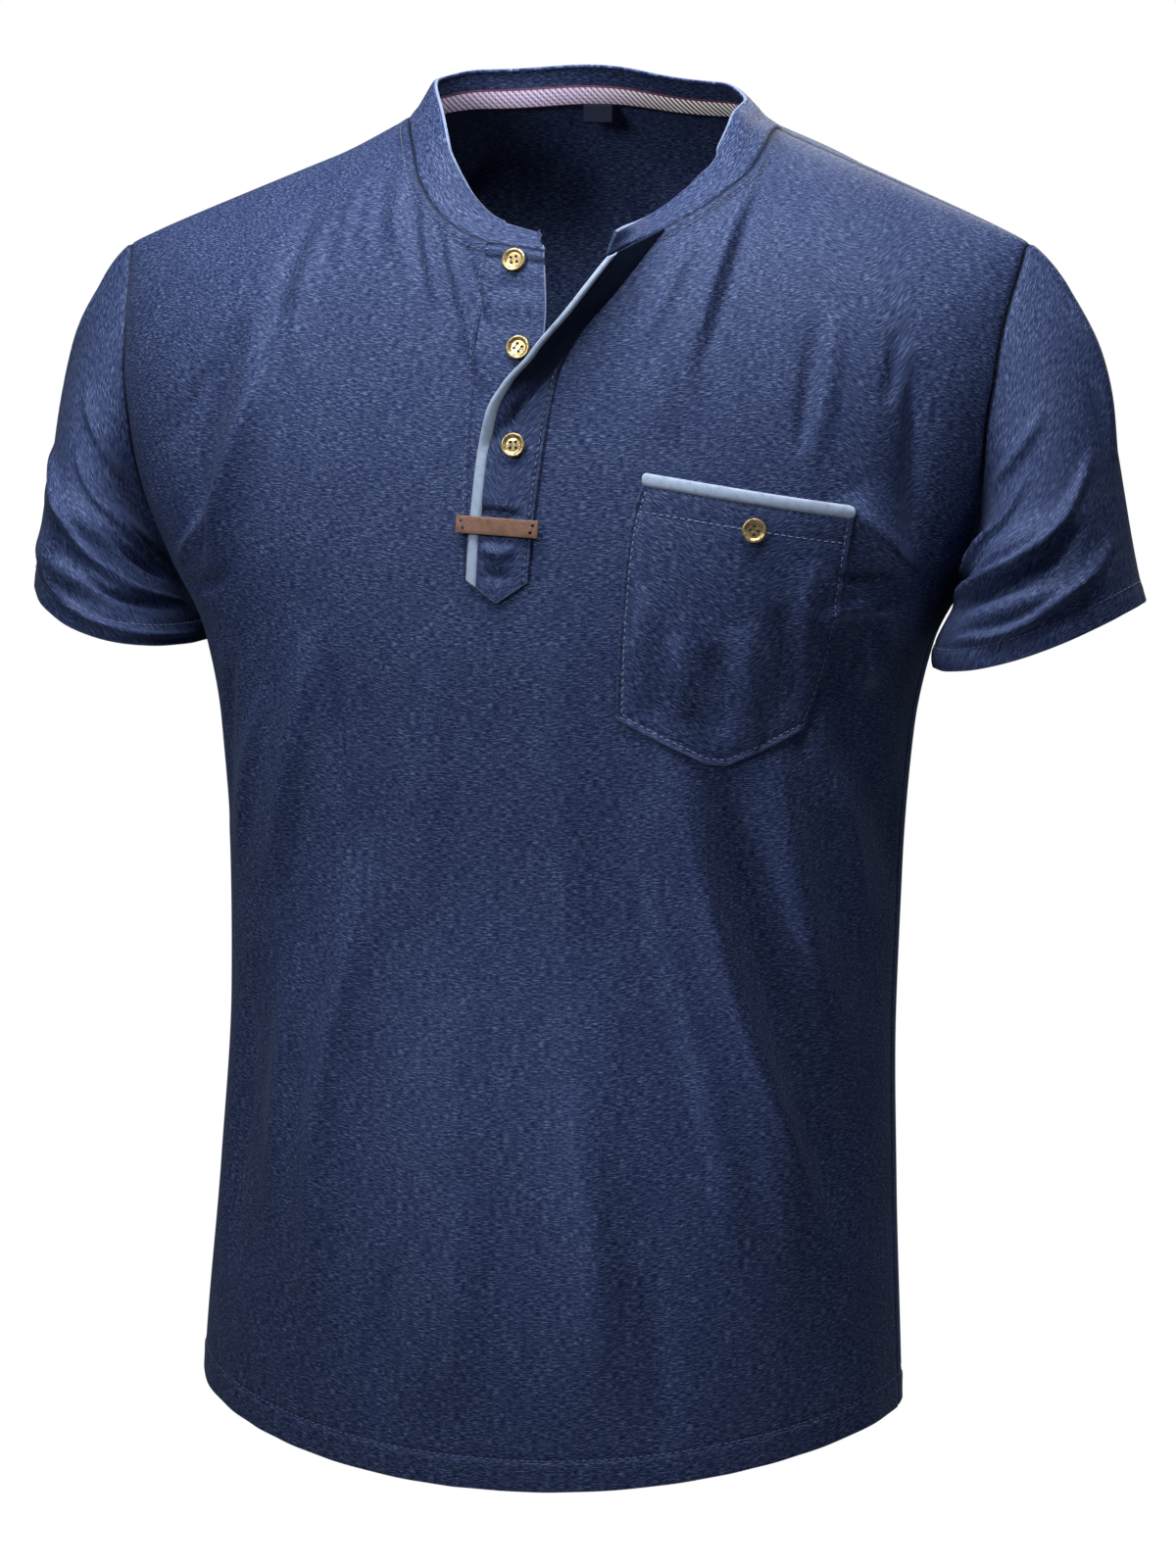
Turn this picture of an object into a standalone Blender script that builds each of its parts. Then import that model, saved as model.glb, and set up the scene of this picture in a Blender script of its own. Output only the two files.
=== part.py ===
"""Short-sleeved t-shirt with a band collar and a half-open button placket, hollow and rounded as worn.

Metres, +Z up. The front faces -Y and the wearer's left is +X. The origin is the middle of the neck
opening, just above the neck ends of the shoulder seams. Each cut piece is a closed wall of cloth.
"""

import math

import bpy
import numpy as np

# ---- cloth and seams ----
CLOTH = 0.0016
BAND_CLOTH = 0.0020
SEAM_GAP = 0.0002
LAY_GAP = 0.0003
POCKET_GAP = 0.0007

# ---- body: horizontal sections from the shoulder crest down to below the hem ----
# drop below the crest, half width, front depth, back depth, middle y, fullness, share of shoulder
# slope, and how far the section hangs towards the wearer's right
SECTION_COLUMNS = ("drop", "half", "front", "back", "middle", "full", "slope", "right")
SECTIONS = (
    (0.000, 0.236, 0.000, 0.000, 0.022, 0.10, 1.00, 0),
    (0.010, 0.236, 0.036, 0.040, 0.021, 0.12, 0.99, 0),
    (0.022, 0.236, 0.054, 0.058, 0.020, 0.14, 0.96, 0),
    (0.045, 0.236, 0.076, 0.078, 0.017, 0.16, 0.88, 0),
    (0.083, 0.236, 0.096, 0.094, 0.014, 0.18, 0.70, 0),
    (0.130, 0.231, 0.108, 0.104, 0.009, 0.20, 0.46, 0),
    (0.180, 0.222, 0.115, 0.110, 0.005, 0.20, 0.24, 0),
    (0.225, 0.2065, 0.118, 0.112, 0.002, 0.20, 0.08, 0),
    (0.265, 0.1875, 0.119, 0.112, 0.000, 0.20, 0.00, 0),
    (0.310, 0.178, 0.119, 0.108, -0.001, 0.20, 0.00, 0),
    (0.380, 0.1735, 0.117, 0.101, -0.003, 0.18, 0.00, 0),
    (0.450, 0.1725, 0.116, 0.098, -0.006, 0.16, 0.00, 0.0005),
    (0.540, 0.1765, 0.116, 0.099, -0.011, 0.12, 0.00, 0.0020),
    (0.640, 0.1830, 0.117, 0.102, -0.017, 0.08, 0.00, 0.0035),
    (0.740, 0.1865, 0.118, 0.104, -0.022, 0.06, 0.00, 0.0040),
)
SHOULDER_TOP_FALL = 0.006
SHOULDER_SLOPE = 0.42
SHOULDER_BEND = 0.045
SHOULDER_ROUND = 0.5
RIGHT_SHOULDER_LOWER = 0.0065
LOWER_BEFORE_NECK = 0.020
LOWER_OVER = 0.060
SHOULDER_ROUND_FROM = 0.196
CREST_TO_FRONT = 0.12
SHOULDER_POINT_X = 0.2345

# the back rolls up over the shoulder seams beside the neck: height on the left and on the right,
# the reaches from the middle where it starts, is full, starts to fade and ends, and its depth
# behind the seam
ROLL_LEFT = 0.0052
ROLL_RIGHT = 0.0026
ROLL_ACROSS = (0.030, 0.095, 0.115, 0.190)
ROLL_RISE_DROP = 0.009
ROLL_FADE_DROP = 0.035

# ---- panel outlines ----
UNDERARM_DROP = 0.238
HEM_SIDE_Z = -0.6475
HEM_CENTRE_Z = -0.6725
ARMHOLE_CUT_FRONT = math.radians(17.0)
ARMHOLE_CUT_BACK = math.radians(14.0)
ARMHOLE_DROP_POWER = 1.4
ARMHOLE_CUT_LEAN = 0.9
ARMHOLE_CUT_FULLNESS = 0.8
ARMHOLE_TOP_POWER = 6
ARMHOLE_LENGTH = 0.225

# neckline, from the shoulder seam to the placket: x, z
NECK_RIGHT = ((-0.0860, -0.0060), (-0.0720, -0.0186), (-0.0565, -0.0398), (-0.0372, -0.0565),
              (-0.0240, -0.0625), (-0.0155, -0.0650))
NECK_LEFT = ((0.1035, -0.0126), (0.1048, -0.0185), (0.1034, -0.0288), (0.0940, -0.0408),
             (0.0820, -0.0505), (0.0685, -0.0590))
NECK_BACK_Y = 0.0720

# the slit for the placket: its right edge is straight, and its left edge is pulled open at the neck
SLIT_HALF = 0.0155
SLIT_FOOT_Z = -0.228
OPENING_LEFT = ((0.0155, -0.2280), (0.0168, -0.2050), (0.0190, -0.1800), (0.0215, -0.1550),
                (0.0250, -0.1300), (0.0330, -0.1100), (0.0510, -0.0855), (0.0685, -0.0590))

# ---- mesh density: steps along each seam ----
SIDE_STEPS = 15
ARM_STEPS = 13
SHOULDER_STEPS = 9
NECK_STEPS = 10
SLIT_STEPS = 2
SLEEVE_STEPS = 8
EDGE_HOLD = 4.0
COLUMN_SPREAD = 4.0
CURVE_SAMPLES = 40
ARMHOLE_SAMPLES = 200
NECK_SAMPLES = 60
HALVINGS = 40
ANGLE_STEP = 1e-3
DROP_STEP = 1e-4
LEAST_DROP = 4e-4
CREST_BLEND = 0.004
SHARP_ANGLE = math.radians(40)

# ---- sleeves: cuff ring and how the cloth leaves the armhole ----
CUFF_CENTRE = {1: (0.2445, -0.008, -0.2550), -1: (0.2350, -0.006, -0.2585)}
CUFF_HALF_ACROSS = {1: 0.0535, -1: 0.0465}
CUFF_HALF_DEEP = {1: 0.0620, -1: 0.0650}
CUFF_TILT = {1: math.radians(18.0), -1: math.radians(20.0)}
CUFF_LEAN = {1: math.radians(18.0), -1: math.radians(6.0)}
CUFF_DIP = 0.006
HEAD_PUSH = {1: 0.140, -1: 0.107}
HEAD_DIRECTION = (0.80, 0.0, -0.60)
INSEAM_PUSH = 0.035
SIDE_PUSH = 0.07
SIDE_DIRECTION = (0.75, -0.45, -0.45)
CUFF_PULL = 0.05
CUFF_PULL_TOP = 0.10
SLEEVE_ROUND = 0.38
SLEEVE_LONG = 0.20
SLEEVE_FOLD_START = 0.12

# ---- soft folds of the body: x0, z0, x1, z1, bow, half width, height, side (-1 front, +1 back) ----
# the bow is how far the middle of the fold's line lies towards the wearer's right of a straight one
BODY_FOLDS = (
    (0.078, -0.285, 0.172, -0.605, 0.004, 0.014, 0.0060, -1),
    (0.128, -0.290, 0.163, -0.500, 0.002, 0.011, 0.0045, -1),
    (0.108, -0.310, 0.145, -0.480, 0.002, 0.012, -0.0035, -1),
    (-0.094, -0.245, -0.130, -0.395, 0.002, 0.012, 0.0040, -1),
    (-0.062, -0.350, -0.098, -0.610, 0.007, 0.015, 0.0035, -1),
    (-0.120, -0.100, -0.162, -0.235, -0.002, 0.011, 0.0050, -1),
    (-0.148, -0.105, -0.167, -0.240, 0.007, 0.010, -0.0050, -1),
    (0.098, -0.045, 0.076, -0.160, 0.000, 0.012, 0.0030, -1),
    (0.192, -0.115, 0.193, -0.225, 0.000, 0.010, -0.0040, -1),
    (0.170, -0.180, 0.192, -0.225, 0.000, 0.010, 0.0050, -1),
    (0.150, -0.150, 0.135, -0.300, 0.004, 0.014, 0.0050, 1),
    (-0.150, -0.150, -0.130, -0.310, -0.004, 0.014, 0.0050, 1),
    (0.060, -0.330, 0.110, -0.460, -0.004, 0.020, 0.0050, 1),
    (-0.070, -0.340, -0.115, -0.480, 0.004, 0.020, 0.0050, 1),
    (-0.020, -0.480, -0.060, -0.630, 0.003, 0.024, 0.0050, 1),
    (0.070, -0.520, 0.100, -0.650, -0.003, 0.024, 0.0050, 1),
)

# sleeve folds: start (turn, run), end (turn, run), half width, height; a turn of 0 is the sleeve's
# top, 0.25 its front and 0.5 its underarm, and a run of 1 is the cuff
SLEEVE_FOLDS = (
    (0.40, 0.45, 0.08, 0.70, 0.010, 0.0055),
    (0.36, 0.72, 0.06, 0.88, 0.009, 0.0045),
    (0.44, 0.25, 0.26, 0.48, 0.009, 0.0040),
    (0.62, 0.50, 0.90, 0.72, 0.011, 0.0050),
)

# ---- collar band: share of the way round, lean inwards, height; from the right front end to the left ----
COLLAR_ROWS = (
    (0.00, math.radians(66.0), 0.0150),
    (0.06, math.radians(62.0), 0.0200),
    (0.14, math.radians(45.0), 0.0220),
    (0.26, math.radians(24.0), 0.0215),
    (0.45, math.radians(12.0), 0.0200),
    (0.62, math.radians(22.0), 0.0215),
    (0.74, math.radians(36.0), 0.0215),
    (0.86, math.radians(66.0), 0.0210),
    (1.00, math.radians(70.0), 0.0200),
)
COLLAR_STEPS = 3
COLLAR_END_ROUND = 0.0050
COLLAR_SEAM_GAP = 0.0004
COLLAR_END_STEPS = 3
COLLAR_END_REACH = (0.0045, 0.0045, 0.0112)

# ---- plackets ----
UNDER_TOP_Z = (-0.0655, -0.0685)
UNDER_EDGE = ((0.0136, -0.0685), (0.0180, -0.1037), (0.0160, -0.1550), (0.0148, -0.2280))
UNDER_STEPS = 9
UNDER_ACROSS = 4
# over placket by its seam's height: share that lies flat, reach to the right, forwards and down
FLAP_COLUMNS = ("z", "flat", "reach", "forward", "down")
FLAP = (
    (-0.2260, 1.00, 0.0305, 0.0000, 0.0000),
    (-0.1900, 1.00, 0.0315, 0.0000, 0.0000),
    (-0.1680, 0.98, 0.0320, 0.0000, 0.0000),
    (-0.1480, 0.55, 0.0290, 0.0060, -0.0020),
    (-0.1280, 0.16, 0.0225, 0.0130, 0.0020),
    (-0.1100, 0.00, 0.0175, 0.0190, 0.0065),
    (-0.0855, 0.00, 0.0195, 0.0250, 0.0110),
    (-0.0590, 0.00, 0.0200, 0.0280, 0.0125),
)
FLAP_LAP = 0.0012
FLAP_STEPS = 16
FLAP_ACROSS = 6
TRIM_ACROSS = 2
TRIM_GAP_SHARE = 0.022
LEAST_TURN = 0.02
FLAP_TIP = 0.0105
FLAP_TIP_RISE = 0.030
TRIM_SHARE = 0.155
TRIM_CLOTH = 0.0021

# ---- leather tab, buttons, pocket ----
TAB_CENTRE = (0.0013, -0.2003)
TAB_LONG = 0.0415
TAB_HIGH = 0.0085
TAB_THICK = 0.0014
TAB_TILT = math.radians(-2.4)
TAB_POINTS = (7, 3)
BUTTONS = (
    ("button_top", 0.0000, -0.0745, "under"),
    ("button_middle", 0.0065, -0.1155, "under"),
    ("button_lower", 0.0078, -0.1615, "over"),
    ("pocket_button", 0.1243, -0.1995, "pocket"),
)
BUTTON_RADIUS = 0.0058
BUTTON_RIM = 0.0026
BUTTON_DISH = 0.0017
BUTTON_SIDES = 18
# button section from the middle of its back to the middle of its front: shares of radius and rim height
BUTTON_PROFILE = ((0.0, 0.0), (0.80, 0.0), (1.0, 0.35), (1.0, 0.80), (0.88, 1.0), (0.74, 0.98),
                  (0.60, BUTTON_DISH / BUTTON_RIM), (0.0, BUTTON_DISH / BUTTON_RIM))
POCKET_LEFT = ((0.0713, -0.1790), (0.0662, -0.2002), (0.0624, -0.2534), (0.0612, -0.2901))
POCKET_RIGHT = ((0.1678, -0.1940), (0.1650, -0.2140), (0.1572, -0.2586), (0.1455, -0.2955))
POCKET_FOOT = ((0.0612, -0.2901), (0.1030, -0.3118), (0.1120, -0.3126), (0.1455, -0.2955))
POCKET_TRIM_HIGH = 0.0055
POCKET_BULGE = 0.0020
POCKET_BULGE_RISE = 2.2
POCKET_STEPS = 9

# ---- inside the back neck ----
TAPE_HIGH = 0.0100
TAPE_CLOTH = 0.0010
LABEL_HALF = 0.0075
LABEL_DROP = 0.0085
LABEL_X = -0.0040
TAPE_STEPS = 2
LABEL_STEPS = 3

COLOURS = {
    "cloth": (0.036, 0.058, 0.150, 1.0),
    "trim": (0.230, 0.340, 0.520, 1.0),
    "leather": (0.170, 0.075, 0.040, 1.0),
    "button": (0.560, 0.440, 0.170, 1.0),
    "tape": (0.500, 0.430, 0.560, 1.0),
    "label": (0.010, 0.014, 0.045, 1.0),
}
FINISH = {"cloth": 0.9, "trim": 0.8, "leather": 0.55, "button": 0.3, "tape": 0.8, "label": 0.7}


# ---------------------------------------------------------------- curves and tables
def smooth_through(keys, values, at):
    """Value of a smooth curve through the given rows, without overshoot, at each place in `at`."""
    keys = np.asarray(keys, float)
    values = np.asarray(values, float)
    at = np.clip(np.asarray(at, float), keys[0], keys[-1])
    step = np.diff(keys)
    slope = np.diff(values) / step
    tangent = np.empty_like(values)
    tangent[0] = slope[0]
    tangent[-1] = slope[-1]
    for i in range(1, len(values) - 1):
        if slope[i - 1] * slope[i] <= 0:
            tangent[i] = 0.0
        else:
            w0 = 2 * step[i] + step[i - 1]
            w1 = step[i] + 2 * step[i - 1]
            tangent[i] = (w0 + w1) / (w0 / slope[i - 1] + w1 / slope[i])
    i = np.clip(np.searchsorted(keys, at, side="right") - 1, 0, len(step) - 1)
    f = (at - keys[i]) / step[i]
    h = step[i]
    return ((1 + 2 * f) * (1 - f) ** 2 * values[i] + f * (1 - f) ** 2 * h * tangent[i]
            + f * f * (3 - 2 * f) * values[i + 1] + f * f * (f - 1) * h * tangent[i + 1])


def along(rows, count):
    """`count` + 1 points spaced evenly along a smooth curve through the rows."""
    rows = np.asarray(rows, float)
    reach = np.concatenate([[0.0], np.cumsum(np.linalg.norm(np.diff(rows, axis=0), axis=1))])
    fine = np.linspace(0.0, reach[-1], CURVE_SAMPLES * len(rows))
    curve = np.stack([smooth_through(reach, rows[:, k], fine) for k in range(rows.shape[1])], axis=1)
    return evenly(curve, count)


def evenly(curve, count):
    """`count` + 1 points spaced evenly along a polyline."""
    reach = np.concatenate([[0.0], np.cumsum(np.linalg.norm(np.diff(curve, axis=0), axis=1))])
    want = np.linspace(0.0, reach[-1], count + 1)
    return np.stack([np.interp(want, reach, curve[:, k]) for k in range(curve.shape[1])], axis=1)


# ---------------------------------------------------------------- the body's surface
TABLE = np.array(SECTIONS)
ROOT_DROP = np.sqrt(TABLE[:, 0])


def section(name, drop):
    """A column of the section table at the given drops below the crest."""
    return smooth_through(ROOT_DROP, TABLE[:, SECTION_COLUMNS.index(name)], np.sqrt(np.maximum(drop, 0)))


def shoulder_fall(x):
    """How far the shoulder line has fallen at x; the wearer's right shoulder hangs a little lower."""
    reach = np.abs(x)
    neck = abs(NECK_RIGHT[0][0])
    line = np.hypot(reach, SHOULDER_BEND) - math.hypot(neck, SHOULDER_BEND)
    rounding = SHOULDER_ROUND * np.maximum(reach - SHOULDER_ROUND_FROM, 0.0) ** 2
    share = np.clip((-x - neck + LOWER_BEFORE_NECK) / LOWER_OVER, 0.0, 1.0)
    lower = RIGHT_SHOULDER_LOWER * share * share * (3 - 2 * share)
    return SHOULDER_TOP_FALL + SHOULDER_SLOPE * line + rounding + lower


def height_at(x, drop):
    return -drop - section("slope", drop) * shoulder_fall(x)


def drop_for(x, z):
    """The drop at which the surface over x is at height z."""
    x, z = np.broadcast_arrays(np.asarray(x, float), np.asarray(z, float))
    low = np.zeros(x.shape)
    high = np.full(x.shape, TABLE[-1, 0])
    for _ in range(HALVINGS):
        middle = (low + high) / 2
        above = height_at(x, middle) > z
        low = np.where(above, middle, low)
        high = np.where(above, high, middle)
    return (low + high) / 2


def bare_surface(angle, drop):
    """Body surface: angle 0 is centre front, 90 degrees the wearer's left side, 180 centre back."""
    angle = np.asarray(angle, float)
    drop = np.asarray(drop, float)
    x = section("half", drop) * np.sin(angle) - section("right", drop)
    depth = np.where(np.cos(angle) >= 0, section("front", drop), section("back", drop))
    full = 1 + section("full", drop) * np.sin(angle) ** 2
    neck = abs(NECK_RIGHT[0][0])
    lean = CREST_TO_FRONT * section("slope", drop) * np.maximum(np.abs(x) - neck, 0.0)
    y = section("middle", drop) - depth * np.cos(angle) * full - lean
    return np.stack([x, y, height_at(x, drop)], axis=-1)


def soft_ridge(u, v, start, end, bow, wide, high):
    """Height of a ridge along a bowed line, rounded across and fading out at both ends."""
    du = end[0] - start[0]
    dv = end[1] - start[1]
    length = math.hypot(du, dv)
    t = ((u - start[0]) * du + (v - start[1]) * dv) / length ** 2
    off = ((u - start[0]) * dv - (v - start[1]) * du) / length
    ends = np.clip(1 - (2 * t - 1) ** 2, 0.0, 1.0)
    return high * ends * np.exp(-((off - bow * ends) / wide) ** 2)


def body_fold(point, side):
    """Height of the soft folds at a point of the front (-1) or back (+1)."""
    total = np.zeros(point.shape[:-1])
    for x0, z0, x1, z1, bow, wide, high, where in BODY_FOLDS:
        ridge = soft_ridge(point[..., 0], point[..., 2], (x0, z0), (x1, z1), bow, wide, high)
        total = total + np.where(side == where, ridge, 0.0)
    return total


def shoulder_roll(x, drop):
    """Height of the back's roll behind the shoulder seams."""
    across = np.interp(np.abs(x), ROLL_ACROSS, (0.0, 1.0, 1.0, 0.0))
    across = across * across * (3 - 2 * across)
    behind = np.clip(drop / ROLL_RISE_DROP, 0.0, 1.0)
    behind = behind * behind * (3 - 2 * behind)
    fade = np.exp(-(np.maximum(drop - ROLL_RISE_DROP, 0.0) / ROLL_FADE_DROP) ** 2)
    return np.where(x > 0, ROLL_LEFT, ROLL_RIGHT) * across * behind * fade


def body_normal(angle, drop):
    """Outward direction of the bare surface; at the shoulder crest it is the crest's own."""
    safe = np.maximum(drop, LEAST_DROP)
    du = bare_surface(angle + ANGLE_STEP, safe) - bare_surface(angle - ANGLE_STEP, safe)
    dv = bare_surface(angle, safe + DROP_STEP) - bare_surface(angle, safe - DROP_STEP)
    normal = np.cross(dv, du)
    normal /= np.linalg.norm(normal, axis=-1, keepdims=True)
    x = bare_surface(angle, np.zeros_like(safe))[..., 0]
    rise = (shoulder_fall(x + DROP_STEP) - shoulder_fall(x - DROP_STEP)) / (2 * DROP_STEP)
    crest = np.stack([rise, np.zeros_like(x), np.ones_like(x)], axis=-1)
    crest /= np.linalg.norm(crest, axis=-1, keepdims=True)
    blend = np.clip(drop / CREST_BLEND, 0.0, 1.0)[..., None]
    normal = crest * (1 - blend) + normal * blend
    return normal / np.linalg.norm(normal, axis=-1, keepdims=True)


def body_surface(angle, drop, out=0.0):
    """Surface with its folds, moved out by `out`, and the outward directions."""
    point = bare_surface(angle, drop)
    normal = body_normal(angle, drop)
    side = np.where(np.cos(angle) >= 0, -1, 1)
    roll = np.where(side > 0, shoulder_roll(point[..., 0], drop), 0.0)
    lift = body_fold(point, side) + roll + out
    return point + normal * np.asarray(lift)[..., None], normal


def front_angle(x, drop):
    """The angle at which the front reaches x at a drop."""
    return np.arcsin(np.clip((x + section("right", drop)) / section("half", drop), -1.0, 1.0))


def front_at(x, z, out=0.0):
    """Points of the front over (x, z), moved out by `out`."""
    drop = drop_for(x, z)
    return body_surface(front_angle(x, drop), drop, out)


# ---------------------------------------------------------------- closed walls from grids of points
def wall(name, outer, inner, present=None, ring=False):
    """A closed wall between two grids of points; `present` leaves quads out, `ring` closes the rows."""
    columns, rows = outer.shape[:2]
    spans = columns if ring else columns - 1
    if present is None:
        present = np.ones((spans, rows - 1), bool)
    used = {}
    verts = []

    def vertex(layer, i, j):
        key = (layer, i % columns, j)
        if key not in used:
            used[key] = len(verts)
            verts.append((outer, inner)[layer][key[1], j])
        return used[key]

    faces = []
    edges = {}
    for i in range(spans):
        for j in range(rows - 1):
            if not present[i, j]:
                continue
            corners = [(i, j), (i + 1, j), (i + 1, j + 1), (i, j + 1)]
            faces.append([vertex(0, *c) for c in corners])
            faces.append([vertex(1, *c) for c in reversed(corners)])
            for a, b in zip(corners, corners[1:] + corners[:1]):
                a = (a[0] % columns, a[1])
                b = (b[0] % columns, b[1])
                if (b, a) in edges:
                    del edges[(b, a)]
                else:
                    edges[(a, b)] = True
    for a, b in edges:
        faces.append([vertex(0, *b), vertex(0, *a), vertex(1, *a), vertex(1, *b)])
    return new_object(name, np.array(verts), faces)


def new_object(name, verts, faces):
    """A mesh object, its faces split into triangles and turned outwards as a whole."""
    flat = []
    for face in faces:
        for k in range(1, len(face) - 1):
            flat.append((face[0], face[k], face[k + 1]))
    flat = np.array(flat)
    a, b, c = (verts[flat[:, k]] for k in range(3))
    if np.einsum("ij,ij->", a, np.cross(b, c)) < 0:
        flat = flat[:, ::-1]
    mesh = bpy.data.meshes.new(name)
    mesh.from_pydata([tuple(v) for v in verts], [], [tuple(int(k) for k in f) for f in flat])
    mesh.validate()
    mesh.shade_smooth()
    mesh.set_sharp_from_angle(angle=SHARP_ANGLE)
    thing = bpy.data.objects.new(name, mesh)
    bpy.context.scene.collection.objects.link(thing)
    return thing


def finish(thing, kind):
    """Give an object its own material of the named kind."""
    material = bpy.data.materials.new(thing.name)
    material.use_nodes = True
    shader = material.node_tree.nodes["Principled BSDF"]
    shader.inputs["Base Color"].default_value = COLOURS[kind]
    shader.inputs["Roughness"].default_value = FINISH[kind]
    shader.inputs["Metallic"].default_value = 0.0
    thing.data.materials.append(material)


# ---------------------------------------------------------------- body panels
def to_domain(rows):
    """Neck or opening rows (x, z) as (angle away from the middle, drop)."""
    rows = np.asarray(rows, float)
    drop = drop_for(rows[:, 0], rows[:, 1])
    return np.stack([np.abs(front_angle(rows[:, 0], drop)), drop], axis=1)


def back_neck(neck_x):
    """Half of the back neckline, from the middle to the shoulder seam, as (angle, drop)."""
    turn = np.linspace(math.pi / 2, 0.0, NECK_SAMPLES)
    x = neck_x * np.cos(turn)
    side_y = bare_surface(math.asin(neck_x / TABLE[0, 1]), 0.0)[..., 1]
    want = side_y + (NECK_BACK_Y - side_y) * np.sin(turn)
    low = np.zeros(x.shape)
    high = np.full(x.shape, UNDERARM_DROP)
    for _ in range(HALVINGS):
        drop = (low + high) / 2
        y = bare_surface(math.pi - np.arcsin(x / section("half", drop)), drop)[..., 1]
        low = np.where(y < want, drop, low)
        high = np.where(y < want, high, drop)
    angle = np.arcsin(x / section("half", drop))
    points = np.stack([x, want, height_at(x, drop), angle, drop], axis=1)
    reach = np.concatenate([[0.0], np.cumsum(np.linalg.norm(np.diff(points[:, :3], axis=0), axis=1))])
    at = np.linspace(0.0, reach[-1], NECK_STEPS + 1)
    neck = np.stack([np.interp(at, reach, np.abs(points[:, k])) for k in (3, 4)], axis=1)
    neck[-1, 1] = 0.0
    return neck


def armhole(front):
    """Armhole in (angle from the front or back middle, drop), from the underarm to the shoulder point."""
    cut = ARMHOLE_CUT_FRONT if front else ARMHOLE_CUT_BACK
    q = np.linspace(0.0, 1.0, ARMHOLE_SAMPLES)
    drop = UNDERARM_DROP * (1 - q) ** ARMHOLE_DROP_POWER
    angle = math.pi / 2 - cut * np.sin(math.pi * q ** ARMHOLE_CUT_LEAN) ** ARMHOLE_CUT_FULLNESS
    top = math.asin(SHOULDER_POINT_X / TABLE[0, 1])
    angle = angle - (math.pi / 2 - top) * q ** ARMHOLE_TOP_POWER
    points = bare_surface(angle, drop)
    reach = np.concatenate([[0.0], np.cumsum(np.linalg.norm(np.diff(points, axis=0), axis=1))])
    want = np.linspace(0.0, reach[-1], ARM_STEPS + 1)
    return np.stack([np.interp(want, reach, angle), np.interp(want, reach, drop)], axis=1)


def hem_drop(angle):
    """The hem hangs lowest at the middle of the front and back."""
    lift = np.sin(angle) ** 2
    return -(HEM_CENTRE_Z * (1 - lift) + HEM_SIDE_Z * lift)


def outer_edge(front):
    """Side seam and armhole, from the hem up, in (angle, drop)."""
    side = np.stack([np.full(SIDE_STEPS + 1, math.pi / 2),
                     np.linspace(hem_drop(math.pi / 2), UNDERARM_DROP, SIDE_STEPS + 1)], axis=1)
    return np.concatenate([side, armhole(front)[1:]])


def shoulder_edge(neck_x):
    """Shoulder seam from the neck to the shoulder point, in (angle, drop)."""
    x = np.linspace(abs(neck_x), SHOULDER_POINT_X, SHOULDER_STEPS + 1)
    return np.stack([np.arcsin(x / TABLE[0, 1]), np.zeros(len(x))], axis=1)


def coons(inner, outer, bottom, top, hold=1.0, spread=1.0):
    """Grid between four edges: inner and outer run up, bottom and top run outwards.

    The side edges' own bends fade into the grid, faster with a larger `hold`. Below the top edge the
    columns move out to the bottom edge's spacing, faster with a larger `spread`.
    """
    c = np.linspace(0, 1, len(bottom))[:, None, None]
    r = np.linspace(0, 1, len(inner))[None, :, None]
    r = np.concatenate([r ** spread, r], axis=-1)
    bend_in = inner[None] - (1 - r) * bottom[0] - r * top[0]
    bend_out = outer[None] - (1 - r) * bottom[-1] - r * top[-1]
    ruled = (1 - r) * bottom[:, None] + r * top[:, None]
    return ruled + (1 - c) ** hold * bend_in + c ** hold * bend_out


def half_panel(inner, neck, front):
    """Half of a panel for the wearer's left; `inner` runs up from the hem and `neck` from it outwards."""
    outer = outer_edge(front)
    shoulder = shoulder_edge(section("half", 0.0) * math.sin(neck[-1, 0]))
    top = np.concatenate([neck, shoulder[1:]])
    start = inner[0, 0]
    angles = np.linspace(start, math.pi / 2, len(top))
    bottom = np.stack([angles, hem_drop(angles)], axis=1)
    return coons(inner, outer, bottom, top, EDGE_HOLD, COLUMN_SPREAD)


def panel_points(grid, back, lift=0.0):
    """Outer and inner points of a panel from its grid of (angle, drop)."""
    outer, normal = body_surface(grid[..., 0], grid[..., 1], lift)
    push = SEAM_GAP if back else -SEAM_GAP
    outer = outer.copy()
    top = grid[..., 1] < 1e-9
    outer[top, 1] += push
    outer[0, :, 0] += SEAM_GAP * (1 if outer[0, 0, 0] < 0 else -1)
    outer[-1, :, 0] += SEAM_GAP * (1 if outer[-1, 0, 0] < 0 else -1)
    outer[0, :SIDE_STEPS + 1, 1] += push
    outer[-1, :SIDE_STEPS + 1, 1] += push
    for edge, beside in ((0, 1), (-1, -2)):
        step = outer[beside, SIDE_STEPS:] - outer[edge, SIDE_STEPS:]
        outer[edge, SIDE_STEPS:] += SEAM_GAP * step / np.linalg.norm(step, axis=-1, keepdims=True)
    return outer, outer - normal * CLOTH


def mirrored(grid):
    """The same grid on the wearer's right."""
    other = grid.copy()
    other[..., 0] *= -1
    return other[::-1]


def rows_to_slit():
    """How many rows of the inner edge lie below the slit's foot."""
    total = SIDE_STEPS + ARM_STEPS
    side_length = -HEM_SIDE_Z - UNDERARM_DROP
    return round(total * (-HEM_CENTRE_Z + SLIT_FOOT_Z) / (side_length + ARMHOLE_LENGTH))


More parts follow.
